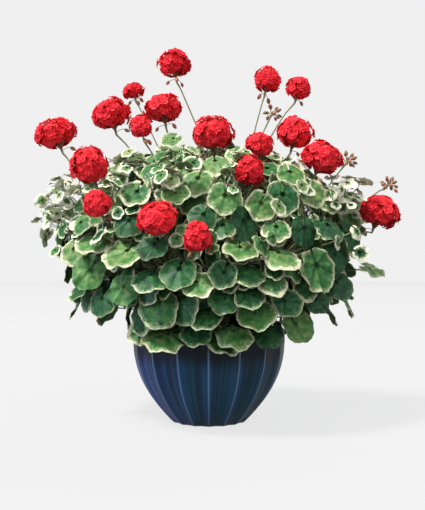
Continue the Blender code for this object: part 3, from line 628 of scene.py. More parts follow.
def head_of(numbers):
    """A flower head from its row of centimetres: its middle, axis, width, rise, and its stalk's crown."""
    x, y, z, width, height = [n * CM for n in numbers]
    middle = Vector((x, y, z))
    most_lean = FACE_LEAN if y < FACE_STARTS_AT else HEAD_LEAN
    lean = min(1.0, LEAN_BY_SIDE * abs(x) + LEAN_BY_FRONT * abs(y)) * most_lean
    axis = (UP + radial(middle) * lean).normalized()
    rise = height / (1 + HEAD_DROOP)
    centre = middle - axis * rise * (1 - HEAD_DROOP) / 2
    base = centre + axis * rise * BASE_REACH * math.cos(BASE_ANGLE)
    crown = base - axis * CROWN_DROP * width
    return {"centre": centre, "axis": axis, "width": width, "rise": rise, "base": base, "crown": crown}


def grow_heads(thicket, stems):
    """Every flower head and every spray of buds, each with its stalk. Sprays have no rise."""
    heads = [head_of(row) for row in FRONT_HEADS + BACK_HEADS]
    for head in heads:
        thicket.add(None, "head", ball(head["centre"], head["axis"], head["width"] / 2, head["rise"]))
        fan_ends = [head["crown"] + head["axis"] * FAN_START, head["base"]]
        thicket.add(None, "head", tube(fan_ends, [2 * CROWN_RADIUS, 3 * CROWN_RADIUS], SPOKES + 1))
    sprays = []
    for x, y, z in BUD_SPRAYS:
        middle = Vector((x, y, z)) * CM
        axis = (UP + SPRAY_LEAN * radial(middle)).normalized()
        sprays.append({"crown": middle, "axis": axis})
        thicket.add(None, "head", ball(middle + axis * 1.5 * BUD_LENGTH, axis, 2 * BUD_LENGTH, BUD_LENGTH))
    for bloom in heads + sprays:
        found = grow_stalk(thicket, stems, bloom["crown"], bloom["axis"], FLOWER_STALK, CROWN_RADIUS, 3)
        bloom["owner"], bloom["stalk"] = found
        thicket.add(bloom["owner"], "stalk", swollen_stalk(bloom["stalk"], CROWN_RADIUS))
    return heads, sprays


def mound_level(z):
    """The height over the mound's middle, as a share of the mound's rise or fall."""
    return (z - MOUND_MIDDLE) / (MOUND_RISE if z > MOUND_MIDDLE else MOUND_FALL)


def mound_reach(z):
    """How wide the mound is at this height, as a share of its full width."""
    return math.sqrt(max(0, 1 - mound_level(z) ** 2))


def mound_depth(x, z):
    """How far in front of the pot's axis the mound's surface is."""
    left = 1 - (x / MOUND_WIDTH) ** 2 - mound_level(z) ** 2
    return MOUND_DEPTH * math.sqrt(max(0, left))


def mound_point(reach, angle, z):
    return Vector((MOUND_WIDTH * reach * math.cos(angle), MOUND_DEPTH * reach * math.sin(angle), z))


def mound_facing(middle, reach, facing):
    (outward, outward_change), (upward, upward_change) = facing
    return radial(middle) * (outward + outward_change * reach) + UP * (upward + upward_change * reach)


def random_shake(rng):
    return Vector([rng.uniform(-1, 1) for axis in range(3)])


def front_place(row):
    """The middle, facing and size of a leaf seen from the front with this width and height."""
    x, z, width, height = [n * CM for n in row]
    middle = Vector((x, -mound_depth(x, z), z))
    lean = math.acos(min(1, height / width)) if width > height else 0
    turn = math.acos(min(1, width / height)) if height > width else SIDE_TURN * abs(x) / MOUND_WIDTH
    lean = min(max(lean, LEAST_LEAN), MOST_LEAN)
    turn = math.copysign(min(turn, MOST_LEAN), x)
    facing = Vector((math.sin(turn) * math.cos(lean), -math.cos(turn) * math.cos(lean), math.sin(lean)))
    return middle, facing, max(width, height) * HIDDEN_SHARE


def back_places(rng):
    """The same for the leaves of the sides and back, on a spiral from the mound's top to its foot."""
    places = []
    for i in range(BACK_LEAVES):
        share = (i + 0.5) / BACK_LEAVES
        z = MOUND_SPAN[1] + (MOUND_SPAN[0] - MOUND_SPAN[1]) * share**BACK_CROWDING
        reach = mound_reach(z)
        middle = mound_point(reach, i * GOLDEN_ANGLE, z)
        size = rng.uniform(*BACK_LEAF_SIZES)
        if middle.y > BACK_STARTS_AT:
            places.append((middle, mound_facing(middle, reach, BACK_FACING).normalized(), size))
    return places


def leaf_at(place, rng, slack):
    """A leaf at the place, moved and turned at random by the slack, from 0 to 1."""
    middle, facing, size = place
    size *= 1 - LEAF_SHRINK * slack
    outward = radial(middle)
    push = rng.uniform(*LEAF_PUSH) * slack
    shake = random_shake(rng)
    normal = (facing + shake * (LEAF_TILT[0] + LEAF_TILT[1] * slack)).normalized()
    hanging = outward * LEAF_HANG - UP
    tip = (hanging - normal * hanging.dot(normal)).normalized()
    spin = rng.uniform(-1, 1) * (LEAF_SPIN[0] + LEAF_SPIN[1] * slack)
    tip = tip * math.cos(spin) + normal.cross(tip) * math.sin(spin)
    hub = middle + outward * push + shake * LEAF_STRAY * slack - tip * size * HUB_SHIFT / 2
    cup = rng.uniform(*CUPS)
    pleat = rng.uniform(*PLEATS)
    return {"hub": hub, "normal": normal, "tip": tip, "size": size, "cup": cup, "pleat": pleat}


def grow_leaves(thicket, stems, places, rng):
    """A leaf at each place where its blade and a stalk to some stem are clear of everything else."""
    leaves = []
    for number, place in enumerate(places):
        for attempt in range(LEAF_ATTEMPTS):
            leaf = leaf_at(place, rng, attempt / LEAF_ATTEMPTS)
            shape = blade(leaf, SWELLING)
            if not thicket.is_free(shape):
                continue
            end = leaf["hub"] - leaf["normal"] * BLADE_HUB / 2
            found = grow_stalk(
                thicket, stems, end, leaf["normal"], LEAF_STALK, LEAF_STALK_RADIUS, 2, blade(leaf, 0)
            )
            if found:
                leaf["owner"], leaf["stalk"] = found
                leaf["place"] = number
                thicket.add(leaf["owner"], "blade", shape)
                thicket.add(leaf["owner"], "stalk", swollen_stalk(leaf["stalk"], LEAF_STALK_RADIUS))
                leaves.append(leaf)
                break
    return leaves


def pot_radius(height):
    """The radius of the pot's outside, on its ridges."""
    drop = abs(WIDEST_HEIGHT - height) / WIDEST_HEIGHT
    return POT_RADIUS - (POT_RADIUS - BASE_RADIUS) * drop**BOWL_CURVE


def pot_rings():
    """The pot's rings as (radius, height, depth of the flutes), from under its base round to its floor."""
    rim_outer = pot_radius(POT_HEIGHT)
    rings = []
    for height in OUTSIDE_HEIGHTS:
        depth = FLUTE_DEPTH * pot_radius(height) / POT_RADIUS if height <= FLUTE_TOP else 0
        rings.append((pot_radius(height), height, depth))
    rings.append((rim_outer, POT_HEIGHT - RIM_ROUNDING, 0))
    rings.append((rim_outer - RIM_ROUNDING, POT_HEIGHT, 0))
    rings.append((rim_outer - POT_WALL + RIM_ROUNDING, POT_HEIGHT, 0))
    rings.append((rim_outer - POT_WALL, POT_HEIGHT - RIM_ROUNDING, 0))
    for height in INSIDE_HEIGHTS:
        rings.append((pot_radius(height) - POT_WALL, height, 0))
    return rings


def turned(rings, sides, flutes):
    """A closed turned shape from its rings, fluted between sharp ridges, one of which faces -Y."""
    verts = []
    for radius, height, depth in rings:
        for i in range(sides):
            across_flute = (i * flutes / sides) % 1
            reach = radius - depth * math.sin(math.pi * across_flute)
            angle = 2 * math.pi * i / sides - math.pi / 2
            verts.append(Vector((reach * math.cos(angle), reach * math.sin(angle), height)))
    faces = []
    for ring in range(len(rings) - 1):
        for i in range(sides):
            low, next_low = ring * sides + i, ring * sides + (i + 1) % sides
            faces.append((low, next_low, next_low + sides, low + sides))
    for ring, order in ((0, -1), (len(rings) - 1, 1)):
        centre = len(verts)
        verts.append(Vector((0, 0, rings[ring][1])))
        for i in range(sides):
            edge = (ring * sides + i, ring * sides + (i + 1) % sides)
            faces.append((*edge[::order], centre))
    return verts, faces


def soil_shape():
    """The soil, from the pot's floor to its crown, clear of the wall by a little more than the gap."""
    rings = []
    for height in reversed(INSIDE_HEIGHTS[1:]):
        lift = 2 * GAP if height == POT_FLOOR else 0
        rings.append((pot_radius(height) - POT_WALL - 3 * GAP, height + lift, 0))
    top = pot_radius(SOIL_HEIGHT) - POT_WALL - 3 * GAP
    rings.append((top, SOIL_HEIGHT - SOIL_CROWN, 0))
    rings.append((FLAT_SHARE * top, SOIL_HEIGHT, 0))
    return turned(rings, SOIL_SIDES, 1)


# Leaves that fill the mound up between the planned ones


def covers_flower(point, size, heads):
    """Whether a leaf here would stand before one of these flower heads, seen from the front."""
    eye = Vector((0, -CAMERA_DISTANCE, CAMERA_HEIGHT))
    way = point - eye
    for head in heads:
        head_way = head["centre"] - eye
        scale = head_way.length / way.length
        clearance = FLOWER_CLEARANCE[0] * head["width"] + FLOWER_CLEARANCE[1] * size
        if scale > 1 and (way * scale - head_way).length < clearance:
            return True
    return False


def add_small_leaf(thicket, leaf, heads, owner):
    """Whether there was room for the leaf's blade, which then takes it."""
    shape = blade(leaf, FILL_SWELLING)
    if covers_flower(leaf["hub"], leaf["size"], heads) or not thicket.is_free(shape, owner, ("shoot",)):
        return False
    thicket.add(owner, "blade", shape)
    return True


def fill_places(rng):
    """Places for smaller leaves between those of the plan, layer by layer."""
    places = []
    for count, depths, heights, sizes in FILL_LAYERS:
        for i in range(count):
            z = rng.uniform(*heights)
            reach = mound_reach(z)
            depth = rng.uniform(*depths) * max(reach, LEAST_FILL_REACH)
            middle = mound_point(depth, i * GOLDEN_ANGLE, z)
            shake = random_shake(rng) * FILL_SHAKE
            facing = mound_facing(middle, reach, FILL_FACING) + shake
            places.append((middle, facing.normalized(), rng.uniform(*sizes)))
    return places


def grow_fill(thicket, planned_thicket, stems, heads, rng):
    """Smaller leaves wherever their blades have room. Their stalks only stay clear of what was planned."""
    leaves = []
    for place in fill_places(rng):
        for attempt in range(FILL_ATTEMPTS):
            leaf = leaf_at(place, rng, attempt / FILL_ATTEMPTS)
            end = leaf["hub"] - leaf["normal"] * BLADE_HUB / 2
            ways = []
            for fault, owner, slot, root in roots_for(stems, end, LEAF_STALK)[:FILL_ROOTS]:
                bend = root.lerp(end, BEND_AT) - leaf["normal"] * BEND_BACK * (end - root).length
                path = sampled([root, bend, end], 2)
                if planned_thicket.is_free(swollen_stalk(path, LEAF_STALK_RADIUS), owner, ("stem", "stalk")):
                    ways.append((owner, path))
            if ways and add_small_leaf(thicket, leaf, heads, None):
                leaf["owner"], leaf["stalk"] = rng.choice(ways)
                leaves.append(leaf)
                break
    return leaves


def grow_shoots(thicket, stems, heads, rng):
    """Side shoots, and the small leaves in a tuft round the tip of each."""
    shoots = []
    leaves = []
    for *tip, spread, count in SHOOTS:
        tip = Vector(tip) * CM
        axis = (UP + SHOOT_LEAN * radial(tip)).normalized()
        found = grow_stalk(thicket, stems, tip, axis, SHOOT_LENGTH, SHOOT_RADIUS, 3)
        if not found:
            continue
        owner, path = found
        shoots.append({"owner": owner, "stalk": path})
        thicket.add(owner, "shoot", swollen_stalk(path, SHOOT_RADIUS))
        for direction in spread_round(axis, count, TUFT_SPAN, rng):
            for attempt in range(TUFT_ATTEMPTS):
                middle = tip + direction * spread * CM * rng.uniform(*TUFT_SHARES)
                shake = random_shake(rng) * FILL_SHAKE
                facing = (YOUNG_FACING[0] * direction + YOUNG_FACING[1] * UP + shake).normalized()
                leaf = leaf_at((middle, facing, rng.uniform(*YOUNG_SIZES)), rng, 0)
                if add_small_leaf(thicket, leaf, heads, owner):
                    root = tip - axis * rng.uniform(0, TUFT_ROOTS) * spread * CM
                    end = leaf["hub"] - leaf["normal"] * BLADE_HUB / 2
                    elbow = root.lerp(end, 0.5) - leaf["normal"] * YOUNG_BEND * (end - root).length
                    leaf["owner"], leaf["stalk"] = owner, [root, elbow, end]
                    leaves.append(leaf)
                    break
    return shoots, leaves


def give_looks(leaves, planned, rng):
    """Each leaf's seed, tone from dark to pale, share of its radius that is cream, and detail."""
    for seed, leaf in enumerate(leaves):
        height = (leaf["hub"].z - MOUND_SPAN[0]) / (MOUND_SPAN[1] - MOUND_SPAN[0])
        leaf["seed"] = SEED + seed
        leaf["tone"] = min(1, max(0, FOOT_TONE + TONE_RISE * height + rng.uniform(*TONE_SPREAD)))
        leaf["cream"] = rng.uniform(*CREAM_EDGES) + CREAM_BY_TONE * leaf["tone"] * rng.random()
        leaf["detail"] = "plain"
        if leaf["size"] < YOUNG_SIZES[1]:
            sideways = abs(leaf["hub"].x) / MOUND_WIDTH
            least, most = [middle + added * sideways**2 for middle, added in YOUNG_CREAM]
            leaf["cream"] += rng.uniform(least, most) * height
        # painted shade: leaves deep inside the mound are given a darker tone
        middle = leaf["hub"] - UP * MOUND_MIDDLE
        spot = Vector((middle.x / MOUND_WIDTH, middle.y / MOUND_DEPTH, middle.z / MOUND_RISE))
        leaf["tone"] *= float(smoothstep((spot.length - SHADE_REACH) / SHADE_FADE))
    for leaf in planned:
        leaf["detail"] = "fine"
        if leaf["place"] < len(FRONT_LEAVES):
            tone, cream = LEAF_LOOKS[FRONT_LEAVES[leaf["place"]][4]]
            leaf["tone"] = tone + rng.uniform(-LOOK_SPREAD, LOOK_SPREAD)
            leaf["cream"] = cream * rng.uniform(*EDGE_SPREAD)


# Meshes


class Soup:
    """Points and triangles gathered for one piece, with what the materials need to know at each point."""

    def __init__(self):
        self.parts = []
        self.count = 0

    def add(self, points, triangles, slot, place, kind, line=0):
        """Place, kind and line are given once for all the points or for each of them.

        Place is where a point is in its leaf, petal or pot, kind what sort of thing it belongs to, and line
        how near it is to a vein.
        """
        points = np.asarray(points, float).reshape(-1, 3)
        rows = [np.asarray(values, float).reshape(-1, 3) for values in (place, kind)]
        place, kind = [np.broadcast_to(row, points.shape) for row in rows]
        line = np.broadcast_to(np.asarray(line, float).ravel(), len(points))
        triangles = np.asarray(triangles, int).reshape(-1, 3)
        slots = np.full(len(triangles), slot)
        self.parts.append((points, triangles + self.count, slots, place, kind, line))
        self.count += len(points)

    def add_shape(self, shape, slot, kind):
        """A plain shape of vertices and faces, with its points as their places."""
        verts, faces = shape
        points = [tuple(v) for v in verts]
        self.add(points, fans(faces), slot, points, kind)

    def add_tube(self, path, radii, sides, slot, kind):
        self.add_shape(tube(path, radii, sides), slot, kind)

    def make(self, name, materials):
        points, triangles, slots, place, kind, line = [np.concatenate(row) for row in zip(*self.parts)]
        mesh = bpy.data.meshes.new(name)
        mesh.from_pydata(points, [], triangles)
        for label, values in (("place", place), ("kind", kind)):
            attribute = mesh.attributes.new(label, "FLOAT_VECTOR", "POINT")
            attribute.data.foreach_set("vector", values.astype(np.float32).ravel())
        attribute = mesh.attributes.new("line", "FLOAT", "POINT")
        attribute.data.foreach_set("value", line.astype(np.float32))
        for material in materials:
            mesh.materials.append(material)
        mesh.polygons.foreach_set("material_index", slots.astype(np.int32))
        mesh.shade_smooth()
        obj = bpy.data.objects.new(name, mesh)
        bpy.context.scene.collection.objects.link(obj)
        return obj


def fans(faces):
    """Faces of any size as triangles."""
    return [(face[0], face[i], face[i + 1]) for face in faces for i in range(1, len(face) - 1)]


def grid_triangles(rows, columns):
    """The triangles between rows of points, each with this many columns."""
    triangles = []
    for row in range(rows - 1):
        for column in range(columns - 1):
            a = row * columns + column
            b = a + columns
            triangles += [(a, a + 1, b + 1), (a, b + 1, b)]
    return np.array(triangles)


def placed(origin, axes, amounts):
    """Points at these amounts along three axes from the origin."""
    return np.array(origin) + sum(amount[..., None] * np.array(axis) for amount, axis in zip(amounts, axes))


def smoothstep(values):
    values = np.clip(values, 0, 1)
    return values * values * (3 - 2 * values)


# Leaf blades


def blade_surface(leaf, teeth, tooth_points, shares, is_upper):
    """One face of a blade in rings from its stalk to its edge: points, triangles, place and vein lines."""
    rng = np.random.default_rng(leaf["seed"])
    radius = leaf["size"] / 2
    lobes = MANY_LOBES if leaf["size"] > LARGE_LEAF else FEW_LOBES
    slit = rng.uniform(*LEAF_SLITS)
    phases = rng.uniform(0, 2 * math.pi, 3)
    angles = np.linspace(math.pi + slit, 3 * math.pi - slit, lobes * teeth * tooth_points + 1)
    wave = np.cos(lobes * (angles - math.pi))
    scallops = np.abs(np.sin(lobes * teeth * (angles - math.pi) / 2))
    reach = 1 - LOBE_SHARE * (1 - NOTCH_SHARE) * ((1 + wave) / 2) ** 1.5 - TOOTH_DEPTH * (1 - scallops)
    for waves, depth, phase in zip((2, 3), OUTLINE_WAVES, phases):
        reach = reach + depth * np.sin(waves * angles + phase)
    share = np.asarray(shares)[:, None]
    across = share * reach * np.sin(angles)
    along = share * (HUB_SHIFT + reach * np.cos(angles))
    rise = (leaf["cup"] + PLEAT_SHARE * leaf["pleat"] * wave) * share**1.6
    rise = rise + RUFFLE * share**3 * np.sin((lobes + 2.5) * angles + phases[1])
    rise = rise + 0.5 * RUFFLE * share**4 * np.sin((2 * lobes + 3) * angles + phases[2])
    rise = rise - QUILTING * share * (1 - share) * ((1 - wave) / 2) ** 4
    slit_edges = np.ones(len(angles))
    slit_edges[[0, -1]] = 0
    thickness = (BLADE_HUB + (BLADE_EDGE - BLADE_HUB) * share) * (1 - share**8) * slit_edges
    rise = radius * rise + thickness / (2 if is_upper else -2)
    axes = (leaf["normal"].cross(leaf["tip"]), leaf["tip"], leaf["normal"])
    points = placed(leaf["hub"], axes, (radius * across, radius * along, rise))
    place = np.stack([across, along, share + 0 * across], axis=-1)
    line = np.abs(np.sin(lobes * (angles - math.pi) / 2 + math.pi / 2)) + 0 * share
    triangles = grid_triangles(len(shares), len(angles))
    if not is_upper:
        triangles = triangles[:, ::-1]
    return points, triangles, place, line


def add_leaf(soup, leaf):
    """A leaf on its stalk. The blade's kind is its tone, its share of cream and a number of its own."""
    kind = (leaf["tone"], leaf["cream"], leaf["seed"] % 97)
    teeth, tooth_points, upper_rings, lower_rings = BLADE_DETAILS[leaf["detail"]]
    for slot, is_upper, shares in ((UPPER_SLOT, True, upper_rings), (UNDER_SLOT, False, lower_rings)):
        points, triangles, place, line = blade_surface(leaf, teeth, tooth_points, shares, is_upper)
        soup.add(points, triangles, slot, place, kind, line)
    root, middle, end = leaf["stalk"]
    is_young = leaf["size"] < YOUNG_SIZES[1]
    radius, tint = (YOUNG_STALK_RADIUS, YOUNG_STALK_TINT) if is_young else (LEAF_STALK_RADIUS, STALK_TINT)
    path = sampled([root, (4 * middle - root - end) / 2, end], 6)
    radii = [radius * swelling for swelling in LEAF_STALK_SWELLINGS]
    soup.add_tube(path, radii, 5, STALK_SLOT, tint)


# Stems, flower stalks and buds


def add_stem(soup, stem):
    """A stem with swollen rings where leaves once grew, woody near the soil.

    The kind of all that is stalk is how woody, how red and how pale it is.
    """
    foot = stem["points"][0]
    path = [foot - UP * (STEM_DEPTH - GAP)] + sampled(stem["points"], FINE_STEM_SEGMENTS)
    radii = [STEM_FOOT_RADIUS]
    for i, radius in enumerate(taper(STEM_FOOT_RADIUS, STEM_TIP_RADIUS, FINE_STEM_SEGMENTS + 1)):
        radii.append(radius * (STEM_SWELLING if i % 4 == 2 else STEM_WAIST))
    verts, faces = tube(path, radii, FINE_STEM_SIDES)
    woody = [[1 - min(1, max(0, (v.z - SOIL_HEIGHT) / WOODY_HEIGHT)), 0, 0] for v in verts]
    soup.add_shape((verts, faces), STALK_SLOT, woody)
    tip = path[-1]
    way = (tip - path[-2]).normalized()
    ends = [tip + along * way for along, radius in STEM_TIP]
    soup.add_tube(ends, [radius for along, radius in STEM_TIP], FINE_STEM_SIDES, STALK_SLOT, (0, 0, 0))


def smoothed(stalk, segments):
    """A finer way along the curve that a stalk of three segments follows."""
    root, first, second, end = stalk
    return sampled([root, (9 * first - 4 * root - end) / 4, end], segments)


def bloom_path(bloom):
    """The smooth way of a flower's stalk up to its crown."""
    end = bloom["stalk"][-1]
    neck = end - bloom["axis"] * 3 * CROWN_RADIUS
    path = smoothed(bloom["stalk"], FLOWER_STALK_SEGMENTS)[:-1]
    return [point for point in path if (point - neck).length > NECK_CLEARANCE] + [neck, end]


def add_flower_stalk(soup, bloom):
    path = bloom_path(bloom)
    radii = [swelling * FLOWER_STALK_RADIUS for swelling in ROOT_SWELLINGS]
    radii += [FLOWER_STALK_RADIUS] * (len(path) - 4) + [NECK_SHARE * CROWN_RADIUS, CROWN_RADIUS]
    soup.add_tube(path, radii, 8, STALK_SLOT, FLOWER_STALK_TINT)


def spread_round(axis, count, span, rng):
    """Directions spread about evenly round an axis, out to this angle from it."""
    side = axis.orthogonal().normalized()
    other = axis.cross(side)
    directions = []
    for i in range(count):
        z = 1 - (1 - math.cos(span)) * (i + 0.5) / count
        angle = i * GOLDEN_ANGLE + rng.uniform(-0.25, 0.25)
        flat = math.sqrt(1 - z * z)
        sideways = side * math.cos(angle) + other * math.sin(angle)
        directions.append((axis * z + sideways * flat).normalized())
    return directions


def add_bud(soup, start, direction, length, droop, redness, rng):
    """A closed bud on its short stalk, which bends over under the bud."""
    elbow = start + direction * length
    hang = (direction - UP * droop).normalized()
    stalk = sampled([start, elbow, elbow + hang * 0.35 * length], 4)
    soup.add_tube(stalk, BUD_STALK_RADII, 5, STALK_SLOT, BUD_STALK_TINT)
    size = BUD_RADIUS * rng.uniform(*BUD_SIZES)
    path = [stalk[-1] + hang * size * along for along, share in BUD_PROFILE]
    radii = [size * share for along, share in BUD_PROFILE]
    soup.add_tube(path, radii, 8, STALK_SLOT, (0, redness, 0))


def add_spray(soup, spray, number):
    """Buds on short stalks that stand up in the middle and hang at the sides."""
    rng = random.Random(SEED + 50 + number)
    for i, direction in enumerate(spread_round(spray["axis"], SPRAY_BUDS, SPRAY_SPAN, rng)):
        start = spray["crown"] - spray["axis"] * SPOKE_ROOT
        length = BUD_LENGTH * rng.uniform(*SPRAY_LENGTHS)
        add_bud(soup, start, direction, length, SPRAY_DROOP * i, rng.uniform(*SPRAY_REDNESS), rng)


def make_growth(number, stem, leaves, shoots, heads, sprays, materials):
    """A stem with all that grows on it, apart from its petals."""
    soup = Soup()
    add_stem(soup, stem)
    for shoot in shoots:
        path = smoothed(shoot["stalk"], SHOOT_SEGMENTS)
        radii = taper(1.3 * SHOOT_RADIUS, 0.6 * SHOOT_RADIUS, len(path))
        soup.add_tube(path, radii, 7, STALK_SLOT, SHOOT_TINT)
    for leaf in leaves:
        add_leaf(soup, leaf)
    for bloom in heads + sprays:
        add_flower_stalk(soup, bloom)
    for head in heads:
        add_pedicels(soup, head)
        add_hanging_buds(soup, head)
    for i, spray in enumerate(sprays):
        add_spray(soup, spray, i)
    return soup.make(f"stem_growth_{number + 1:02d}", materials)


# Flower heads


def floret_frames(head):
    """Where each floret of a head sits and how it faces: middle, facing, and a turn round it."""
    rng = random.Random(head["seed"])
    lump_turn = rng.uniform(0, 2 * math.pi)
    count = round(LEAST_FLORETS + FLORETS_PER_METRE * head["width"])
    turn = UP.rotation_difference(head["axis"])
    frames = []
    for direction in spread_round(UP, count, FLORET_SPAN, rng):
        lump = LUMPS * math.sin(3 * math.atan2(direction.y, direction.x) + lump_turn + 2 * direction.z)
        reach = rng.uniform(*FLORET_REACH) + lump * (1 - direction.z**2)
        rise = head["rise"] * (UNDERSIDE if direction.z < 0 else 1)
        x, y, z = direction
        middle = Vector((x * head["width"] / 2, y * head["width"] / 2, z * rise))
        facing = Vector((x / head["width"], y / head["width"], z / head["rise"] / 2))
        place = head["centre"] + turn @ (middle * reach)
        frames.append((place, (turn @ facing).normalized(), rng.uniform(0, 6.28)))
    return frames


def add_pedicels(soup, head):
    """The thin stalks from the crown of the flower's stalk to its florets."""
    root = head["crown"] - head["axis"] * SPOKE_ROOT
    for middle, facing, turn in floret_frames(head)[::2]:
        end = middle - facing * PEDICEL_END
        bend = root.lerp(end, 0.5) + head["axis"] * PEDICEL_BOW
        soup.add_tube(sampled([root, bend, end], 3), PEDICEL_RADII, 4, STALK_SLOT, PEDICEL_TINT)


def add_hanging_buds(soup, head):
    """A few closed buds that hang out below the florets."""
    rng = random.Random(head["seed"])
    directions = spread_round(head["axis"], 9, HANGING_SPAN, rng)[-4:]
    for direction in rng.sample(directions, rng.randint(0, 3)):
        start = head["crown"] - head["axis"] * SPOKE_ROOT
        length = HANGING_LENGTH * head["width"] * rng.uniform(0.7, 1.0)
        droop = rng.uniform(*HANGING_DROOP)
        add_bud(soup, start, direction, length, droop, rng.uniform(*HANGING_REDNESS), rng)


def petal_shape(size, height, opening, phases):
    """A petal's grid in shares of its width and length, and its points: sideways, outwards and up."""
    across, along = np.meshgrid(np.linspace(-1, 1, PETAL_COLUMNS), np.linspace(PETAL_ROOT, 1, PETAL_ROWS))
    width = PETAL_WIDTH * along**0.6 * (1 - PETAL_ROUNDING * along**3)
    outward = size * (along - PETAL_CURVE * along * across**2) * opening
    lift = height * along * (1.5 - 0.8 * along) + PETAL_CUP * across**2 * along
    lift = lift + PETAL_RUFFLE * along**2 * np.sin(4.2 * across + phases[0])
    lift = size * (lift + 0.6 * PETAL_RUFFLE * np.sin(6 * along + phases[1]) * across)
    return across, along, (size * width * across, outward, lift)


def add_petals(soup, frame, length, rng):
    """One floret: outer petals laid open, and smaller crumpled ones standing in the middle.

    A petal's kind is a number of the floret, a number of its own and the floret's turn.
    """
    middle, facing, turn = frame
    side = facing.orthogonal().normalized()
    axes = (side, facing.cross(side), facing)
    triangles = grid_triangles(PETAL_ROWS, PETAL_COLUMNS)
    floret = rng.uniform(0, 1)
    for share, count, height, opening in PETAL_WHORLS:
        for i in range(count):
            size = length * share * rng.uniform(*PETAL_SIZES)
            angle = turn + 2 * math.pi * (i + share) / count + rng.uniform(-PETAL_SHAKE, PETAL_SHAKE)
            phases = rng.uniform(0, 2 * math.pi, 2)
            across, along, (sideways, outward, lift) = petal_shape(size, height, opening, phases)
            x = outward * math.cos(angle) - sideways * math.sin(angle)
            y = outward * math.sin(angle) + sideways * math.cos(angle)
            place = np.stack([across, along, across * 0 + share], axis=-1)
            kind = (floret, rng.uniform(), turn)
            soup.add(placed(middle, axes, (x, y, lift)), triangles, PETAL_SLOT, place, kind)


def make_bloom(number, head, materials):
    """A ball of florets round a core."""
    soup = Soup()
    rng = np.random.default_rng(head["seed"])
    path = [head["centre"] + head["axis"] * head["rise"] * level for level, share in CORE_PROFILE]
    radii = [head["width"] / 2 * share for level, share in CORE_PROFILE]
    soup.add_tube(path, radii, 14, CORE_SLOT, (0, 0, 0))
    length = PETAL_LENGTH + PETAL_LENGTH_BY_WIDTH * head["width"]
    for frame in floret_frames(head):
        add_petals(soup, frame, length, rng)
    return soup.make(f"bloom_{number + 1:02d}", materials)


# Pot and soil


def fine_pot_rings():
    """The pot's rings as (radius, height, depth of the flutes), from the drain hole round to it again."""
    rings = [(DRAIN_RADIUS, 0.001, 0), (DRAIN_RADIUS + 0.001, 0, 0), (BASE_RADIUS - FOOT_WIDTH, 0, 0)]
    for height in np.concatenate([[0], np.linspace(FOOT_ROUNDING, RIM_START, FINE_POT_RINGS)]):
        fade = 1 - float(smoothstep((height - FLUTE_TOP + FLUTE_FADE) / FLUTE_FADE))
        foot = FOOT_INSET * max(0, 1 - height / FOOT_ROUNDING)
        deepening = 1 + FOOT_SCALLOPS * max(0, 1 - height / FOOT_HEIGHT)
        depth = FLUTE_DEPTH * pot_radius(height) / POT_RADIUS * fade * deepening
        rings.append((pot_radius(height) - foot, height, depth))
    middle = pot_radius(POT_HEIGHT) - POT_WALL / 2
    for i in range(RIM_POINTS):
        angle = math.pi * i / (RIM_POINTS - 1)
        height = POT_HEIGHT - RIM_LIFT + RIM_LIFT * math.sin(angle)
        rings.append((middle + POT_WALL / 2 * math.cos(angle), height, 0))
    for height in np.linspace(INSIDE_TOP, POT_FLOOR + FLOOR_ROUNDING, INSIDE_RINGS):
        rings.append((pot_radius(height) - POT_WALL, height, 0))
    rings.append((pot_radius(POT_FLOOR) - POT_WALL - FLOOR_ROUNDING, POT_FLOOR, 0))
    rings.append((DRAIN_RADIUS, POT_FLOOR, 0))
    return rings


def make_fine_pot(materials):
    """The pot, every flute rounded in.

    A point's place is how near a ridge is, the height, and whether it is outside; its kind is the way round.
    """
    rings = fine_pot_rings()
    sides = FLUTES * FLUTE_SIDES
    share = np.arange(sides) * FLUTES / sides % 1
    hollow = np.sqrt(np.sin(math.pi * share) ** 2 + RIDGE_ROUNDING**2) - RIDGE_ROUNDING
    angles = 2 * math.pi * np.arange(sides) / sides - math.pi / 2
    radius, height, depth = [np.array(column)[:, None] for column in zip(*rings)]
    reach = radius - depth * hollow
    offset = np.zeros_like(radius)
    offset[[0, 1, -1]] = DRAIN_OFFSET
    flat = 0 * reach
    points = np.stack([reach * np.cos(angles), reach * np.sin(angles) + offset, height + flat], axis=-1)
    number = np.arange(len(rings))
    is_outside = np.where((number > 2) & (number < FINE_POT_RINGS + 12), 1, 0)
    place = np.stack([np.abs(2 * share - 1) + flat, height + flat, is_outside[:, None] + flat], axis=-1)
    around = np.stack([np.cos(angles) + flat, np.sin(angles) + flat, height + flat], axis=-1)
    low = np.arange(len(rings) * sides).reshape(len(rings), sides)
    high = np.roll(low, -1, axis=0)
    corners = [low, np.roll(low, -1, axis=1), np.roll(high, -1, axis=1), high]
    a, b, c, d = [corner.ravel() for corner in corners]
    triangles = np.concatenate([np.stack([a, b, c], axis=1), np.stack([a, c, d], axis=1)])
    soup = Soup()
    soup.add(points, triangles, 0, place, around)
    return soup.make("glazed_pot", materials)


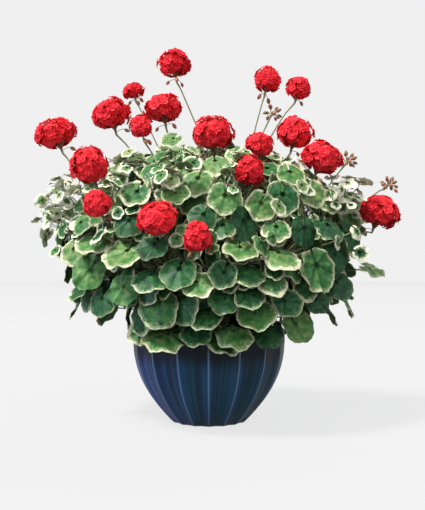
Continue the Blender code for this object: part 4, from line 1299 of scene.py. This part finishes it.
def make_fine_soil(materials):
    """The soil filling the pot, with crumbs of peat and bark on it. Their kind is how pale they are."""
    rng = np.random.default_rng(SEED)
    soup = Soup()
    soup.add_shape(soil_shape(), 0, (0.5, 0, 0))
    top = pot_radius(SOIL_HEIGHT) - POT_WALL - 4 * GAP
    for i in range(SOIL_CRUMBS):
        reach = top * math.sqrt(rng.uniform(0, 0.93))
        angle = i * GOLDEN_ANGLE
        size = rng.uniform(*CRUMB_SIZES)
        height = SOIL_HEIGHT - SOIL_CROWN * max(0, (reach / top - FLAT_SHARE) / (1 - FLAT_SHARE))
        middle = Vector((reach * math.cos(angle), reach * math.sin(angle), height + CRUMB_LIFT * size))
        way = Vector(rng.normal(size=3)).normalized() * size
        radii = [size * rng.uniform(*shares) for shares in CRUMB_SHARES]
        path = [middle - CRUMB_REACH * way, middle, middle + CRUMB_REACH * way]
        soup.add_tube(path, radii, 5, 0, (rng.uniform(0, 1), 0, 0))
    return soup.make("soil_fill", materials)


# Materials


class Graph:
    """A material's nodes, added with few words."""

    def __init__(self, name):
        self.material = bpy.data.materials.new(name)
        self.material.use_nodes = True
        self.tree = self.material.node_tree
        self.shader = self.tree.nodes["Principled BSDF"]

    def node(self, kind, *values, **settings):
        """A node with these settings. The values go into its first inputs, sockets as links."""
        node = self.tree.nodes.new(kind)
        for key, value in settings.items():
            setattr(node, key, value)
        for socket, value in zip(node.inputs, values):
            self.put(socket, value)
        return node

    def put(self, socket, value):
        if isinstance(value, bpy.types.NodeSocket):
            self.tree.links.new(value, socket)
        elif value is not None:
            socket.default_value = value

    def set(self, **values):
        """Sets or links the shader's inputs, named with _ for a space."""
        for key, value in values.items():
            self.put(self.shader.inputs[key.replace("_", " ")], value)

    def attribute(self, name):
        """The three numbers that the mesh holds at each point under this name."""
        return self.node("ShaderNodeAttribute", attribute_name=name).outputs["Vector"]

    def space(self):
        return self.node("ShaderNodeTexCoord").outputs["Object"]

    def stretched(self, vector, scale):
        node = self.node("ShaderNodeMapping", vector)
        node.inputs["Scale"].default_value = scale
        return node.outputs[0]

    def parts(self, vector):
        return self.node("ShaderNodeSeparateXYZ", vector).outputs

    def math(self, operation, *values):
        return self.node("ShaderNodeMath", *values, operation=operation).outputs[0]

    def step(self, value, start, end, low=0.0, high=1.0):
        """Smoothly from low to high as the value goes from start to end."""
        node = self.node("ShaderNodeMapRange", value, start, end, low, high, interpolation_type="SMOOTHSTEP")
        return node.outputs[0]

    def mix(self, share, first, second):
        node = self.node("ShaderNodeMix", data_type="RGBA")
        for key, value in (("Factor_Float", share), ("A_Color", first), ("B_Color", second)):
            socket = next(s for s in node.inputs if s.identifier == key)
            self.put(socket, value)
        return next(s for s in node.outputs if s.identifier == "Result_Color")

    def noise(self, vector, scale, detail=2.0):
        return self.node("ShaderNodeTexNoise", vector, None, scale, detail).outputs[0]

    def bump(self, height, strength, distance):
        node = self.node("ShaderNodeBump")
        for key, value in (("Height", height), ("Strength", strength), ("Distance", distance)):
            self.put(node.inputs[key], value)
        self.set(Normal=node.outputs[0])


def colour(red, green, blue):
    return (red, green, blue, 1)


def leaf_pattern(graph):
    """What both faces share: the space, the tone, masks of cream and of half-tint, and the cream itself."""
    place = graph.attribute("place")
    tone, cream, seed = graph.parts(graph.attribute("kind"))
    share = graph.parts(place)[2]
    apart = graph.node("ShaderNodeCombineXYZ", seed, seed, seed).outputs[0]
    space = graph.node("ShaderNodeVectorMath", place, apart, operation="ADD").outputs[0]
    swing = graph.math("MULTIPLY_ADD", cream, 1.6, 0.24)
    wander = graph.math("MULTIPLY", graph.math("SUBTRACT", graph.noise(space, 4.5, 4.0), 0.5), swing)
    border = graph.math("ADD", graph.math("ADD", share, wander), cream)
    has_cream = graph.step(cream, 0.015, 0.04)
    mask = graph.math("MULTIPLY", graph.step(border, 0.965, 1.0), has_cream)
    patches = graph.math("MULTIPLY_ADD", graph.noise(space, 7.0, 2.0), 0.5, -0.25)
    half = graph.math("MULTIPLY", graph.step(graph.math("ADD", border, patches), 0.84, 0.92), has_cream)
    whitish = graph.mix(graph.step(cream, 0.05, 0.30), colour(0.54, 0.55, 0.34), colour(0.73, 0.73, 0.56))
    return space, tone, mask, half, whitish


def vein_lines(graph, strength):
    line = graph.node("ShaderNodeAttribute", attribute_name="line").outputs["Fac"]
    return graph.step(line, 0.16, 0.02, 0.0, strength)


def leaf_upper():
    graph = Graph("leaf_upper")
    space, tone, mask, half, whitish = leaf_pattern(graph)
    uneven = graph.math("MULTIPLY_ADD", graph.noise(space, 3.0, 4.0), 1.3, -0.65)
    ramp = graph.node("ShaderNodeValToRGB", graph.math("ADD", tone, uneven))
    stops = ramp.color_ramp.elements
    stops[0].position, stops[0].color = 0.0, colour(0.005, 0.040, 0.013)
    stops[1].position, stops[1].color = 1.0, colour(0.285, 0.335, 0.130)
    for position, shade in ((0.3, colour(0.014, 0.100, 0.026)), (0.65, colour(0.072, 0.205, 0.050))):
        stops.new(position).color = shade
    green = ramp.outputs[0]
    veins = vein_lines(graph, 0.22)
    green = graph.mix(veins, green, colour(0.14, 0.26, 0.08))
    tinted = graph.mix(graph.math("MULTIPLY", half, 0.6), green, colour(0.30, 0.38, 0.19))
    graph.set(Base_Color=graph.mix(mask, tinted, whitish), Roughness=0.5, Specular_IOR_Level=0.28)
    graph.set(Sheen_Weight=0.02, Sheen_Roughness=0.5)
    height = graph.math("ADD", graph.noise(space, 16.0, 3.0), graph.math("MULTIPLY", veins, -1.5))
    graph.bump(height, 0.5, 0.0006)
    return graph.material


def leaf_under():
    graph = Graph("leaf_under")
    space, tone, mask, _, whitish = leaf_pattern(graph)
    green = graph.mix(tone, colour(0.035, 0.11, 0.03), colour(0.20, 0.32, 0.12))
    veins = vein_lines(graph, 0.5)
    green = graph.mix(veins, green, colour(0.28, 0.36, 0.18))
    graph.set(Base_Color=graph.mix(mask, green, whitish), Roughness=0.7, Specular_IOR_Level=0.25)
    graph.set(Sheen_Weight=0.08, Sheen_Roughness=0.5)
    height = graph.math("ADD", graph.noise(space, 16.0, 3.0), graph.math("MULTIPLY", veins, 2.0))
    graph.bump(height, 0.5, 0.0006)
    return graph.material


def stalk_green():
    graph = Graph("stalk_green")
    woody, red, pale = graph.parts(graph.attribute("kind"))
    space = graph.space()
    fleck = graph.noise(space, 260.0, 3.0)
    green = graph.mix(graph.noise(space, 60.0), colour(0.05, 0.11, 0.03), colour(0.15, 0.21, 0.08))
    green = graph.mix(pale, green, colour(0.42, 0.48, 0.26))
    green = graph.mix(red, green, colour(0.44, 0.13, 0.08))
    bark = graph.mix(fleck, colour(0.07, 0.045, 0.03), colour(0.24, 0.17, 0.10))
    graph.set(Base_Color=graph.mix(woody, green, bark), Roughness=0.6)
    graph.set(Sheen_Weight=0.12, Sheen_Roughness=0.4)
    graph.bump(fleck, 0.4, 0.0004)
    return graph.material


def petal_scarlet():
    graph = Graph("petal_scarlet")
    place = graph.attribute("place")
    own = graph.parts(graph.attribute("kind"))[1]
    along = graph.parts(place)[1]
    veins = graph.noise(graph.stretched(place, (9, 1.5, 3)), 1.0, 3.0)
    red = graph.mix(own, colour(0.74, 0.011, 0.022), colour(1.0, 0.040, 0.058))
    red = graph.mix(graph.step(along, 0.45, 0.1, 0.0, 0.35), red, colour(0.60, 0.004, 0.014))
    red = graph.mix(graph.step(veins, 0.5, 0.7, 0.0, 0.25), red, colour(0.50, 0.005, 0.012))
    graph.set(Base_Color=red, Roughness=0.65, Specular_IOR_Level=0.2)
    graph.set(Sheen_Weight=0.05, Sheen_Roughness=0.35)
    graph.bump(graph.math("ADD", veins, graph.noise(place, 5.0)), 0.4, 0.0008)
    return graph.material


def petal_core():
    graph = Graph("petal_core")
    lumps = graph.noise(graph.space(), 180.0, 3.0)
    red = graph.mix(lumps, colour(0.60, 0.005, 0.012), colour(0.90, 0.015, 0.026))
    graph.set(Base_Color=red, Roughness=0.7)
    graph.bump(lumps, 0.8, 0.002)
    return graph.material


def blue_glaze():
    """Deep blue glaze that ran off the ridges and the rim's edge, over a pale bare foot, with a painted
    highlight on its left side and painted shade at its top.
    """
    graph = Graph("glaze_blue")
    nearness, height, outside = graph.parts(graph.attribute("place"))
    around = graph.attribute("kind")
    specks = graph.noise(graph.space(), 420.0, 2.0)
    clouds = graph.noise(graph.stretched(around, (5, 5, 6)), 1.0, 3.0)
    streaks = graph.noise(graph.stretched(around, (26, 26, 3)), 1.0, 2.0)
    # painted light: the pot's left side is a lighter violet-blue, a painted highlight, and its right side a
    # darker teal, painted shade
    shaded_teal = graph.mix(clouds, colour(0.006, 0.040, 0.060), colour(0.012, 0.074, 0.140))
    lit_violet = graph.mix(clouds, colour(0.019, 0.052, 0.165), colour(0.042, 0.095, 0.370))
    blue = graph.mix(graph.step(graph.parts(around)[0], -0.35, -0.85), shaded_teal, lit_violet)
    blue = graph.mix(graph.step(nearness, 0.35, 1.0, 0.0, 0.6), blue, colour(0.024, 0.085, 0.240))
    blue = graph.mix(graph.step(streaks, 0.42, 0.62, 0.0, 0.75), blue, colour(0.004, 0.018, 0.036))
    blue = graph.mix(graph.step(specks, 0.66, 0.74, 0.0, 0.5), blue, colour(0.004, 0.012, 0.045))
    # painted shade: the glaze darkens to near black towards the top of the pot, where the leaves shade it
    painted_shade_height = graph.math("MULTIPLY_ADD", clouds, 0.04, height)
    blue = graph.mix(graph.step(painted_shade_height, 0.130, 0.165, 0.0, 0.9), blue, colour(0.001, 0.004, 0.010))
    ridge = graph.math("ADD", nearness, graph.math("MULTIPLY_ADD", streaks, 0.10, -0.05))
    thin = graph.step(ridge, 0.90, 0.99, 0.0, 0.85)
    fades = graph.step(height, FLUTE_TOP + 0.004, FLUTE_TOP - 0.012)
    thin = graph.math("MULTIPLY", graph.math("MULTIPLY", thin, fades), outside)
    edge = graph.step(height, POT_HEIGHT - 0.0035, POT_HEIGHT - 0.0005, 0.0, 0.8)
    thin = graph.math("MAXIMUM", thin, edge)
    glazed = graph.mix(thin, blue, colour(0.15, 0.25, 0.36))
    bare = graph.step(height, 0.0025, 0.0010)
    clay = graph.mix(specks, colour(0.30, 0.22, 0.16), colour(0.42, 0.33, 0.25))
    graph.set(Base_Color=graph.mix(bare, glazed, clay), Roughness=graph.step(bare, 0.0, 1.0, 0.28, 0.8))
    graph.set(Coat_Weight=0.2, Coat_Roughness=0.12, Specular_IOR_Level=0.3)
    graph.bump(graph.math("ADD", graph.math("MULTIPLY", clouds, 2.0), streaks), 0.2, 0.0008)
    return graph.material


def peat_soil():
    graph = Graph("peat_soil")
    space = graph.space()
    grains = graph.noise(space, 300.0, 5.0)
    lumps = graph.noise(space, 70.0, 3.0)
    paleness = graph.math("MULTIPLY", graph.parts(graph.attribute("kind"))[0], grains)
    brown = graph.mix(paleness, colour(0.022, 0.014, 0.009), colour(0.17, 0.105, 0.06))
    graph.set(Base_Color=brown, Roughness=0.95)
    graph.bump(graph.math("ADD", grains, lumps), 1.0, 0.003)
    return graph.material


# Camera, light and floor


def make_camera():
    """A level view from the front, a little above half the plant's height."""
    camera = bpy.data.objects.new("camera", bpy.data.cameras.new("camera"))
    camera.data.lens = CAMERA_LENS
    camera.location = (CAMERA_SHIFT, -CAMERA_DISTANCE, CAMERA_HEIGHT)
    camera.rotation_euler = (math.radians(90) + CAMERA_PITCH, 0, 0)
    bpy.context.scene.collection.objects.link(camera)
    bpy.context.scene.camera = camera


def make_sun(name, azimuth, elevation, strength, spread, tint):
    """A soft sun that shines from this azimuth, where 0 is the front and 90 the right, and elevation."""
    light = bpy.data.lights.new(name, "SUN")
    light.energy, light.angle, light.color = strength, math.radians(spread), tint
    lamp = bpy.data.objects.new(name, light)
    a, e = math.radians(azimuth), math.radians(elevation)
    source = Vector((math.sin(a) * math.cos(e), -math.cos(a) * math.cos(e), math.sin(e)))
    lamp.rotation_euler = source.to_track_quat("Z", "Y").to_euler()
    bpy.context.scene.collection.objects.link(lamp)


def make_world():
    world = bpy.data.worlds.new("studio")
    world.use_nodes = True
    tree = world.node_tree
    background = tree.nodes["Background"]
    background.inputs["Color"].default_value = (1, 1, 1, 1)
    seen = tree.nodes.new("ShaderNodeLightPath")
    level = tree.nodes.new("ShaderNodeMapRange")
    level.inputs["To Min"].default_value = AMBIENT
    level.inputs["To Max"].default_value = SKY
    tree.links.new(seen.outputs["Is Camera Ray"], level.inputs["Value"])
    tree.links.new(level.outputs[0], background.inputs["Strength"])
    bpy.context.scene.world = world


def make_floor():
    """A pale floor lit from within as well, so that it meets the background with only a faint shadow."""
    soup = Soup()
    soup.add_tube([UP * -0.012, UP * -0.0004], [FLOOR_RADIUS] * 2, 64, 0, (0, 0, 0))
    graph = Graph("floor")
    shade = graph.noise(graph.space(), 2.0)
    grey = graph.mix(shade, colour(*[FLOOR_ALBEDO] * 3), colour(*[FLOOR_ALBEDO * 0.99] * 3))
    seen = graph.node("ShaderNodeLightPath").outputs["Is Camera Ray"]
    glow = graph.node("ShaderNodeMapRange", seen, 0.0, 1.0, FLOOR_LIGHT, FLOOR_GLOW).outputs[0]
    graph.set(Base_Color=grey, Roughness=0.9, Specular_IOR_Level=0.0)
    graph.set(Emission_Color=colour(1, 1, 1), Emission_Strength=glow)
    floor = soup.make("floor", [graph.material])


def dress(piece, node):
    """The piece takes the place of a CAD node."""
    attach(piece, "root")
    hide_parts(node)


def main():
    rng = random.Random(SEED)
    thicket = Thicket()
    thicket.add(None, "pot", turned(pot_rings(), POT_SIDES, FLUTES))
    thicket.add(None, "soil", soil_shape())
    stems = grow_stems(thicket)
    heads, sprays = grow_heads(thicket, stems)
    for number, head in enumerate(heads):
        head["seed"] = SEED + number
    places = [front_place(row[:4]) for row in FRONT_LEAVES] + back_places(rng)
    planned = grow_leaves(thicket, stems, places, rng)
    for stem in stems:
        stem["free"] = list(range(ROOTS_PER_STEM))
    planned_thicket = Thicket()
    planned_thicket.pieces = list(thicket.pieces)
    front_heads = heads[: len(FRONT_HEADS)]
    shoots, young = grow_shoots(thicket, stems, front_heads, rng)
    leaves = planned + young + grow_fill(thicket, planned_thicket, stems, front_heads, rng)
    give_looks(leaves, planned, rng)

    dress(make_fine_pot([blue_glaze()]), "pot")
    dress(make_fine_soil([peat_soil()]), "potting_soil")
    greens = [leaf_upper(), leaf_under(), stalk_green()]
    for number, stem in enumerate(stems):
        kinds = (leaves, shoots, heads, sprays)
        own = [[grown for grown in kind if grown["owner"] == number] for kind in kinds]
        dress(make_growth(number, stem, *own, greens), f"leafy_stem_{number + 1:02d}")
    reds = [petal_scarlet(), petal_core()]
    for number, head in enumerate(heads):
        dress(make_bloom(number, head, reds), f"flower_head_{number + 1:02d}")

    make_floor()
    make_world()
    for sun in SUNS:
        make_sun(*sun)
    make_camera()
    bpy.context.scene.view_settings.view_transform = "Standard"


main()
